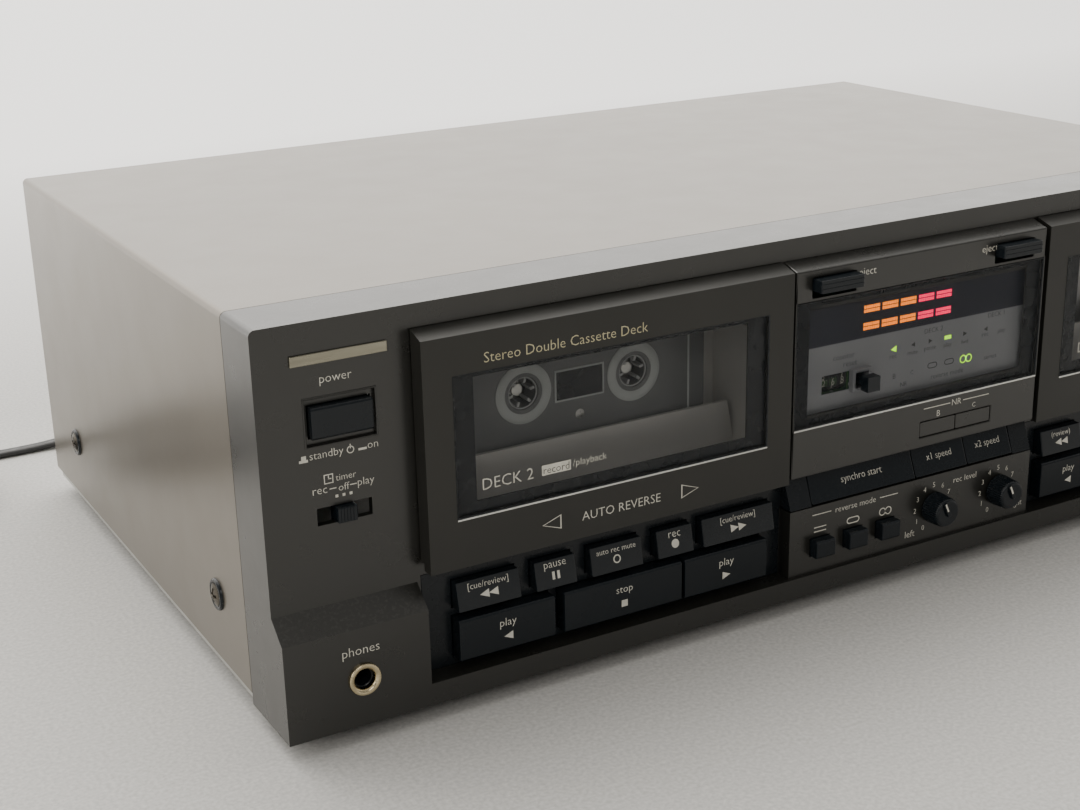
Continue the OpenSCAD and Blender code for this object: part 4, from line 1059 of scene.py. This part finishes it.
def addDisplay():
    fasciaLow, fasciaHigh = corners("centre_fascia")
    windowLow, windowHigh = corners("display_window")
    reset = middle("counter_reset_button")
    wheels = corners("counter_wheel")
    front = panelFace - display["plateFront"]
    back = front + display["plateThick"]
    x = (fasciaLow[0] + display["plateSide"], fasciaHigh[0] - display["plateSide"])
    z = (windowLow[2] - 0.6, windowHigh[2] + 0.4)
    right, half, hole = wheels[1][0], display["wheelsHalf"], display["resetHole"]
    holes = [((right - display["wheelsWide"], right + 0.4), (reset[2] - half, reset[2] + half)),
             ((reset[0] - hole, reset[0] + hole), (reset[2] - hole, reset[2] + hole))]
    xs = np.unique([x[0], *holes[0][0], *holes[1][0], x[1]])
    zs = np.unique([z[0], *holes[0][1], *holes[1][1], z[1]])
    tiles = []
    for xa, xb in zip(xs[:-1], xs[1:]):
        for za, zb in zip(zs[:-1], zs[1:]):
            cx, cz = (xa + xb) / 2, (za + zb) / 2
            if not any(h[0][0] < cx < h[0][1] and h[1][0] < cz < h[1][1] for h in holes):
                tiles.append(slab((xa, front, za), (xb, back, zb)))
    # the plate is painted lit grey low down and painted with the top bezel's shadow above
    plate = plateFinish("displayPlate", panelFoot + display["shadeFrom"])
    addPiece("displayPlateSheet", joined(tiles), plate, "casing", smooth=False, weld=0)
    half = display["collar"]
    collar = rectangleRing((reset[0] - half, reset[0] + half), (reset[2] - half, reset[2] + half), front,
                           [(0, 0.1), (0, -2.2), (-0.25, -2.4), (-1.0, -2.4), (-1.2, -2.2), (-1.2, 0.1)])
    addPiece("resetCollar", collar, plate, "casing", smooth=False, bevel=0.1)
    dashWidth = (display["barWidth"] - (display["dashes"] - 1) * display["dashGap"]) / display["dashes"]
    lamps = {"orangeLamp": [], "redLamp": []}
    for row in display["rows"]:
        for k in range(display["bars"]):
            lot = lamps["orangeLamp" if k < display["orange"] else "redLamp"]
            for d in range(display["dashes"]):
                left = display["firstBar"] + k * display["pitch"] + d * (dashWidth + display["dashGap"])
                for lift in (-display["dashLift"], display["dashLift"]):
                    low, high = (panelFoot + row + lift + way * display["dashHalf"] for way in (-1, 1))
                    lot.append(slab((left, front - 0.25, low), (left + dashWidth, front + 0.1, high)))
    for lamp, lot in lamps.items():
        addPiece(lamp + "Meter", joined(lot), finishes[lamp], "casing", smooth=False)

    def plateSpot(px, pz):
        return onFlat(px, panelFoot + pz, front)

    for shape, px, pz in plateLegends["lit"]:
        addPrint("casing", "greenLamp", prism(shape), plateSpot(px, pz))
    for shape in signs["loop"]:
        addPrint("casing", "greenLamp", shape, plateSpot(*plateLegends["litLoop"]))
    for px, way in plateLegends["arrows"]:
        addPrint("casing", "dim", prism(triangle(1.8, 1.8, way)), plateSpot(px, plateLegends["arrowsUp"]))
    for words, px, pz, width in plateLegends["words"]:
        write(words, width, plateSpot(px, pz), "casing", "dim")
    for px in plateLegends["loops"]:
        addPrint("casing", "dim", ringOf(loopOutline(4.6, 2.2), 0.3),
                 plateSpot(px, plateLegends["loopsUp"]))


addDisplay()


# Bends a print round a wheel on an X axis: its height becomes an angle, height/radius.
def bentOn(x, turn, axisPlace, radius):
    def carry(points):
        a = points[:, 1] / radius + turn
        r = radius - printSink + points[:, 2] * printThick
        return np.stack([x + points[:, 0], axisPlace[0] - r * np.cos(a), axisPlace[1] + r * np.sin(a)], -1)
    return carry


# each wheel: its shift, the figure it shows and its body
counter = dict(wheels=((-8.2, 2, "casing"), (-4.1, 6, "casing"), (0, 8, "counter_wheel")),
               type=3.4, tall=1.1, half=1.9)


# Ten figures round each of the counter's wheels; the units wheel turns with its own body.
def numberWheels():
    low, high = corners("counter_wheel")
    axis = ((low[1] + high[1]) / 2, (low[2] + high[2]) / 2)
    radius = (high[2] - low[2]) / 2
    covers = []
    for shift, shown, body in counter["wheels"]:
        x = (low[0] + high[0]) / 2 + shift
        for number in range(10):
            turn = math.radians(36 * (number - shown))
            figure(str(number), counter["type"], bentOn(x, turn, axis, radius), body, "cream",
                   counter["tall"])
        if body == "casing":
            left, right = x - counter["half"], x + counter["half"]
            band = [(radius - 0.6, left), (radius + 0.004, left), (radius + 0.004, right),
                    (radius - 0.6, right)]
            covers.append(turned(band + band[:1], (0, *axis), axis="x"))
    addPiece("counterBands", joined(covers), finishes["wheel"], "casing")


numberWheels()
print("display made")


# trims, painted highlights, bezels and the blank badge

masks = dict(door_window_2=dict(side=7.6, foot=4.0, top=1.6),
             door_window_1=dict(side=7.6, foot=4.0, top=1.6),
             display_window=dict(side=6.6, foot=2.6, top=2.0))  # black borders printed behind the windows


trims = dict(highlightTall=0.65, highlightProud=0.22, maskThick=0.05, recess=(11.4, 7.4),
             badge=((-15, 18.0), (16, 21.4)), badgeProud=0.7, grips=5, gripHalf=2.2)


# Bright strips under the windows' lower edges, painted highlight where light catches the bezel's edge; thin
# rims round them and round the power recess.
def addTrims():
    highlightStrips, rims = {}, {}
    for node, body in (("door_window_2", "door_2"), ("door_window_1", "door_1"),
                       ("display_window", "casing")):
        low, high = corners(node)
        # a bright strip under each window's lower edge: painted highlight where light catches that edge
        face = low[1] - 0.1
        strip = slab((low[0] - 0.1, face - trims["highlightProud"], low[2] - 0.1 - trims["highlightTall"]),
                     (high[0] + 0.1, face + 0.2, low[2] - 0.1))
        highlightStrips.setdefault(body, []).append(strip)
        rims.setdefault(body, []).append(rectangleRing(
            (low[0], high[0]), (low[2], high[2]), low[1],
            [(0.15, 0.2), (0.15, -0.22), (-0.15, -0.22), (-0.3, 0.0), (-0.3, 0.2)]))
        mask = masks[node]
        inner = (low[0] + mask["side"], high[0] - mask["side"], low[2] + mask["foot"],
                 high[2] - mask["top"])
        outer = (low[0] + 0.4, high[0] - 0.4, low[2] + 0.4, high[2] - 0.4)
        back = (high[1] + 0.02, high[1] + 0.02 + trims["maskThick"])
        rims[body] += [slab((outer[0], back[0], outer[2]), (inner[0], back[1], outer[3])),
                       slab((inner[1], back[0], outer[2]), (outer[1], back[1], outer[3])),
                       slab((inner[0], back[0], outer[2]), (inner[1], back[1], inner[2])),
                       slab((inner[0], back[0], inner[3]), (inner[1], back[1], outer[3]))]
    for body, shapes in highlightStrips.items():
        addPiece(body + "PaintedHighlight", joined(shapes), finishes["metalAndHighlight"], body,
                 smooth=False, bevel=0.08)
    for body, shapes in rims.items():
        addPiece(body + "WindowRim", joined(shapes), finishes["bezel"], body,
                 smooth=False)
    x, _, z = middle("power_button")
    wide, tall = trims["recess"]
    recess = rectangleRing((x - wide, x + wide), (z - tall, z + tall), panelFace,
                           [(0.5, 0.1), (0.45, -0.2), (0.1, -0.34), (-0.12, -0.2), (-0.2, 0.1)])
    addPiece("powerRim", recess, finishes["front"], "casing", bevel=0.04)
    (left, foot), (right, top) = trims["badge"]
    badge = slab((x + left, panelFace - trims["badgeProud"], z + foot),
                 (x + right, panelFace + 0.1, z + top))
    addPiece("blankBadge", badge, finishes["badge"], "casing", smooth=False, bevel=0.25)
    low, high = corners("timer_slider")
    level, reach = (low[2] + high[2]) / 2, trims["gripHalf"]
    grips = [slab((k - 0.25, low[1] - 0.25, level - reach), (k + 0.25, low[1] + 0.1, level + reach))
             for k in np.linspace(low[0] + 1.2, high[0] - 1.2, trims["grips"])]
    addPiece("timerGrips", joined(grips), finishes["keys"], "timer_slider", smooth=False,
             bevel=0.08)
    for deck in (2, 1):
        low, high = corners(f"eject_lever_{deck}")
        ribs = [slab((low[0] + 1.8, low[1] - 0.2, z), (high[0] - 1.8, low[1] + 0.1, z + 0.4))
                for z in ((low[2] + high[2]) / 2 - 1.0, (low[2] + high[2]) / 2 + 0.6)]
        addPiece(f"ejectRibs{deck}", joined(ribs), finishes["keys"], f"eject_lever_{deck}",
                 smooth=False, bevel=0.08)


addTrims()


# cassette details

tape = dict(faceIn=1.65, hubs=21.25, hubHigh=35, ring=(10.4, 7.0), proud=0.25,
            toothTip=3.3, toothRoot=5.0, toothStart=12, label=((-44, 44), (16, 59)), pane=(9.5, 5.5),
            screws=((-46, 60), (46, 60), (0, 24)))


def addCassetteDetails():
    low, high = corners("cassette")
    face = low[1] + tape["faceIn"]
    x, foot = (low[0] + high[0]) / 2, low[2]
    hubZ = foot + tape["hubHigh"]
    rings, teeth, collars = [], [], []
    for side in (-1, 1):
        hx = x + side * tape["hubs"]
        outer, inner = tape["ring"]
        rings.append(turned([(inner, face + 0.1), (outer, face + 0.1), (outer, face - tape["proud"] + 0.08),
                             (outer - 0.1, face - tape["proud"]), (inner + 0.1, face - tape["proud"]),
                             (inner, face - tape["proud"] + 0.08), (inner, face + 0.1)], (hx, 0, hubZ),
                             around=64))
        for a in np.radians(np.arange(0, 360, 60) + tape["toothStart"]):
            tooth = slab((tape["toothTip"], face + 1.2, -0.45), (tape["toothRoot"], face + 7.4, 0.45))[0]
            spun = np.stack([hx + tooth[:, 0] * math.cos(a) - tooth[:, 2] * math.sin(a), tooth[:, 1],
                             hubZ + tooth[:, 0] * math.sin(a) + tooth[:, 2] * math.cos(a)], -1)
            teeth.append((spun, slab((0, 0, 0), (1, 1, 1))[1]))
        near, far = tape["toothRoot"] + 0.05, tape["toothRoot"] + 0.45
        collars.append(turned([(near, face + 0.5), (far, face + 0.5), (far, face + 0.9), (near, face + 0.9),
                               (near, face + 0.5)], (hx, 0, hubZ), around=48))
    addPiece("cassetteRings", joined(rings), finishes["rings"], "door_2")
    addPiece("hubTeeth", joined(teeth + collars), finishes["hub"], "door_2", smooth=False,
             bevel=0.12)
    (left, right), (bottom, top) = tape["label"]
    edge = rectangleRing((x + left, x + right), (foot + bottom, foot + top), face,
                         [(0, 0.1), (0, -0.16), (-0.3, -0.2), (-0.7, -0.16), (-0.7, 0.1)])
    wide, tall = tape["pane"]
    window = rectangleRing((x - wide, x + wide), (hubZ - tall, hubZ + tall), face,
                           [(0, 0.1), (0, -0.2), (-0.6, -0.2), (-0.6, 0.1)])
    addPiece("cassetteLabelEdge", joined([edge, window]), finishes["rings"], "door_2",
             smooth=False)
    wide, tall = wide - 0.5, tall - 0.5
    pane = slab((x - wide, face - 0.08, hubZ - tall), (x + wide, face + 0.2, hubZ + tall))
    addPiece("cassettePane", pane, finishes["bezel"], "door_2", smooth=False, bevel=0.05)
    heads = [crossScrew((x + sx, face + 0.1, foot + sz), -1, 1.7, 0.55, "y") for sx, sz in tape["screws"]]
    addPiece("cassetteScrews", joined(heads), finishes["zinc"], "door_2", angle=25)


addCassetteDetails()


# rear: sockets' rings, screws and rating plate

rear = dict(pitch=(9, 8), ring=(4.2, 6.6), pin=1.62, insulator=4.0, head=3.0, corner=8,
            plate=((-185, -110), (70, 110)), plateThick=0.3, border=2, lowScrew=40, socketScrews=19)


def addRear():
    low, high = corners("line_sockets")
    rearLow, rearHigh = corners("rear_panel")
    rearFace = rearHigh[1]
    middleX, middleZ = (low[0] + high[0]) / 2, (low[2] + high[2]) / 2
    rings = {"red": [], "white": []}
    (inner, outer), pin, filling = rear["ring"], rear["pin"], rear["insulator"]
    flange = [(inner, 0), (outer, 0), (outer, 1.0), (outer - 0.3, 1.3), (5.0, 1.3), (4.7, 2.2),
              (inner, 2.2), (inner, 0)]
    flange = [(r, rearFace + out) for r, out in flange]
    plugged = [(pin, -5), (filling, -5), (filling, -0.9), (pin, -0.9), (pin, -5)]
    plugged = [(r, high[1] + out) for r, out in plugged]
    across, up = rear["pitch"]
    for colour, x in (("red", middleX - across), ("white", middleX + across)):
        for z in (middleZ - up, middleZ + up):
            rings[colour] += [turned(flange, (x, 0, z)), turned(plugged, (x, 0, z))]
    for colour, shapes in rings.items():
        addPiece(colour + "SocketRings", joined(shapes), finishes[colour], "casing")
    inset = rear["corner"]
    left, right = rearLow[0] + inset, rearHigh[0] - inset
    foot, top = rearLow[2] + inset, rearHigh[2] - inset
    spots = [(left, top), (0, top + 2), (right, top), (left, foot), (rear["lowScrew"], foot), (right, foot),
             (middleX - rear["socketScrews"], middleZ), (middleX + rear["socketScrews"], middleZ)]
    heads = [crossScrew((x, rearFace, z), 1, rear["head"], 1.2, "y") for x, z in spots]
    addPiece("rearScrews", joined(heads), finishes["zinc"], "casing", angle=25)
    (left, right), (foot, top) = rear["plate"]
    front, edge = rearFace + rear["plateThick"], rear["border"]
    plate = slab((left, rearFace, foot), (right, front, top))
    addPiece("blankRatingPlate", plate, finishes["metalAndHighlight"], "casing", smooth=False, bevel=0.1)
    border = rectangleRing((left + edge, right - edge), (foot + edge, top - edge), front,
                           [(0, 0.0), (0, 0.06), (-0.5, 0.06), (-0.5, 0.0)])
    addPiece("ratingPlateBorder", border, finishes["dark"], "casing", smooth=False)


addRear()
print("trims, cassette and rear made")


# prints become one piece for each body and ink

for (printBody, printInk), lot in printLots.items():
    addPiece(f"{printBody}_{printInk}_print", joined(lot), finishes[printInk], printBody,
             smooth=False, weld=0.0)
print("prints made:", len(printLots))


# floor and light

studio = dict(
    floor=12.0, wall=(1.0, 0.975, 0.93), frontToBack=(0.35, 2.3), paler=(0.25, 0.9), warm=(1, 0.97, 0.92),
    lamps=dict(  # place and target in metres, size, power
        overhead=((-0.3, 0.5, 1.8), (0, 0, 0.1), (1.6, 1.2), 12),
        behind=((-0.2, 3.0, 2.6), (0, 3.4, 0), (5.0, 4.0), 150),
        leftFill=((-1.8, -0.4, 0.8), (0, 0, 0.08), (1.0, 0.8), 6),
        frontFill=((-0.6, -1.8, 1.3), (0, 0, 0.08), (1.2, 0.6), 8)))


def addArea(name, place, target, size, power):
    data = bpy.data.lights.new(name, "AREA")
    data.shape, data.size, data.size_y = "RECTANGLE", size[0], size[1]
    data.energy, data.color = power, studio["warm"]
    lamp = bpy.data.objects.new(name, data)
    lamp.location = place
    lamp.rotation_euler = (Vector(target) - Vector(place)).to_track_quat("-Z", "Y").to_euler()
    bpy.context.scene.collection.objects.link(lamp)


# A plain pale floor that grows paler behind the object.
def floorFinish():
    finish, tree, shader, place = startFinish("paleFloor")
    parts = tree.nodes.new("ShaderNodeSeparateXYZ")
    tree.links.new(place, parts.inputs[0])
    far = spread(tree, parts.outputs["Y"], 0, 1, *studio["paler"])
    near = tones(tree, grainOf(tree, place, 700, 4), [(0.3, (0.43, 0.425, 0.41)),
                                                      (0.7, (0.57, 0.56, 0.54))])
    tree.links.new(mixColours(tree, far, near, (1.0, 1.0, 1.0)), shader.inputs["Base Color"])
    tree.links.new(spread(tree, grainOf(tree, place, 300), 0.75, 0.85), shader.inputs["Roughness"])
    return finish


def addStudio():
    size = studio["floor"]
    mesh = bpy.data.meshes.new("floor")
    mesh.from_pydata([(-size, -size, 0), (size, -size, 0), (size, size, 0), (-size, size, 0)], [],
                     [(0, 1, 2, 3)])
    floor = bpy.data.objects.new("floor", mesh)
    mesh.materials.append(floorFinish())
    bpy.context.scene.collection.objects.link(floor)
    world = bpy.data.worlds.new("studio")
    world.use_nodes = True
    tree = world.node_tree
    sky = tree.nodes["Background"]
    sky.inputs["Color"].default_value = (*studio["wall"], 1)
    parts = tree.nodes.new("ShaderNodeSeparateXYZ")
    tree.links.new(tree.nodes.new("ShaderNodeTexCoord").outputs["Generated"], parts.inputs[0])
    strength = spread(tree, parts.outputs["Y"], *studio["frontToBack"], -0.45, 0.65)
    tree.links.new(strength, sky.inputs["Strength"])
    bpy.context.scene.world = world
    for name, lamp in studio["lamps"].items():
        addArea(name, *lamp)


addStudio()
print("studio set")
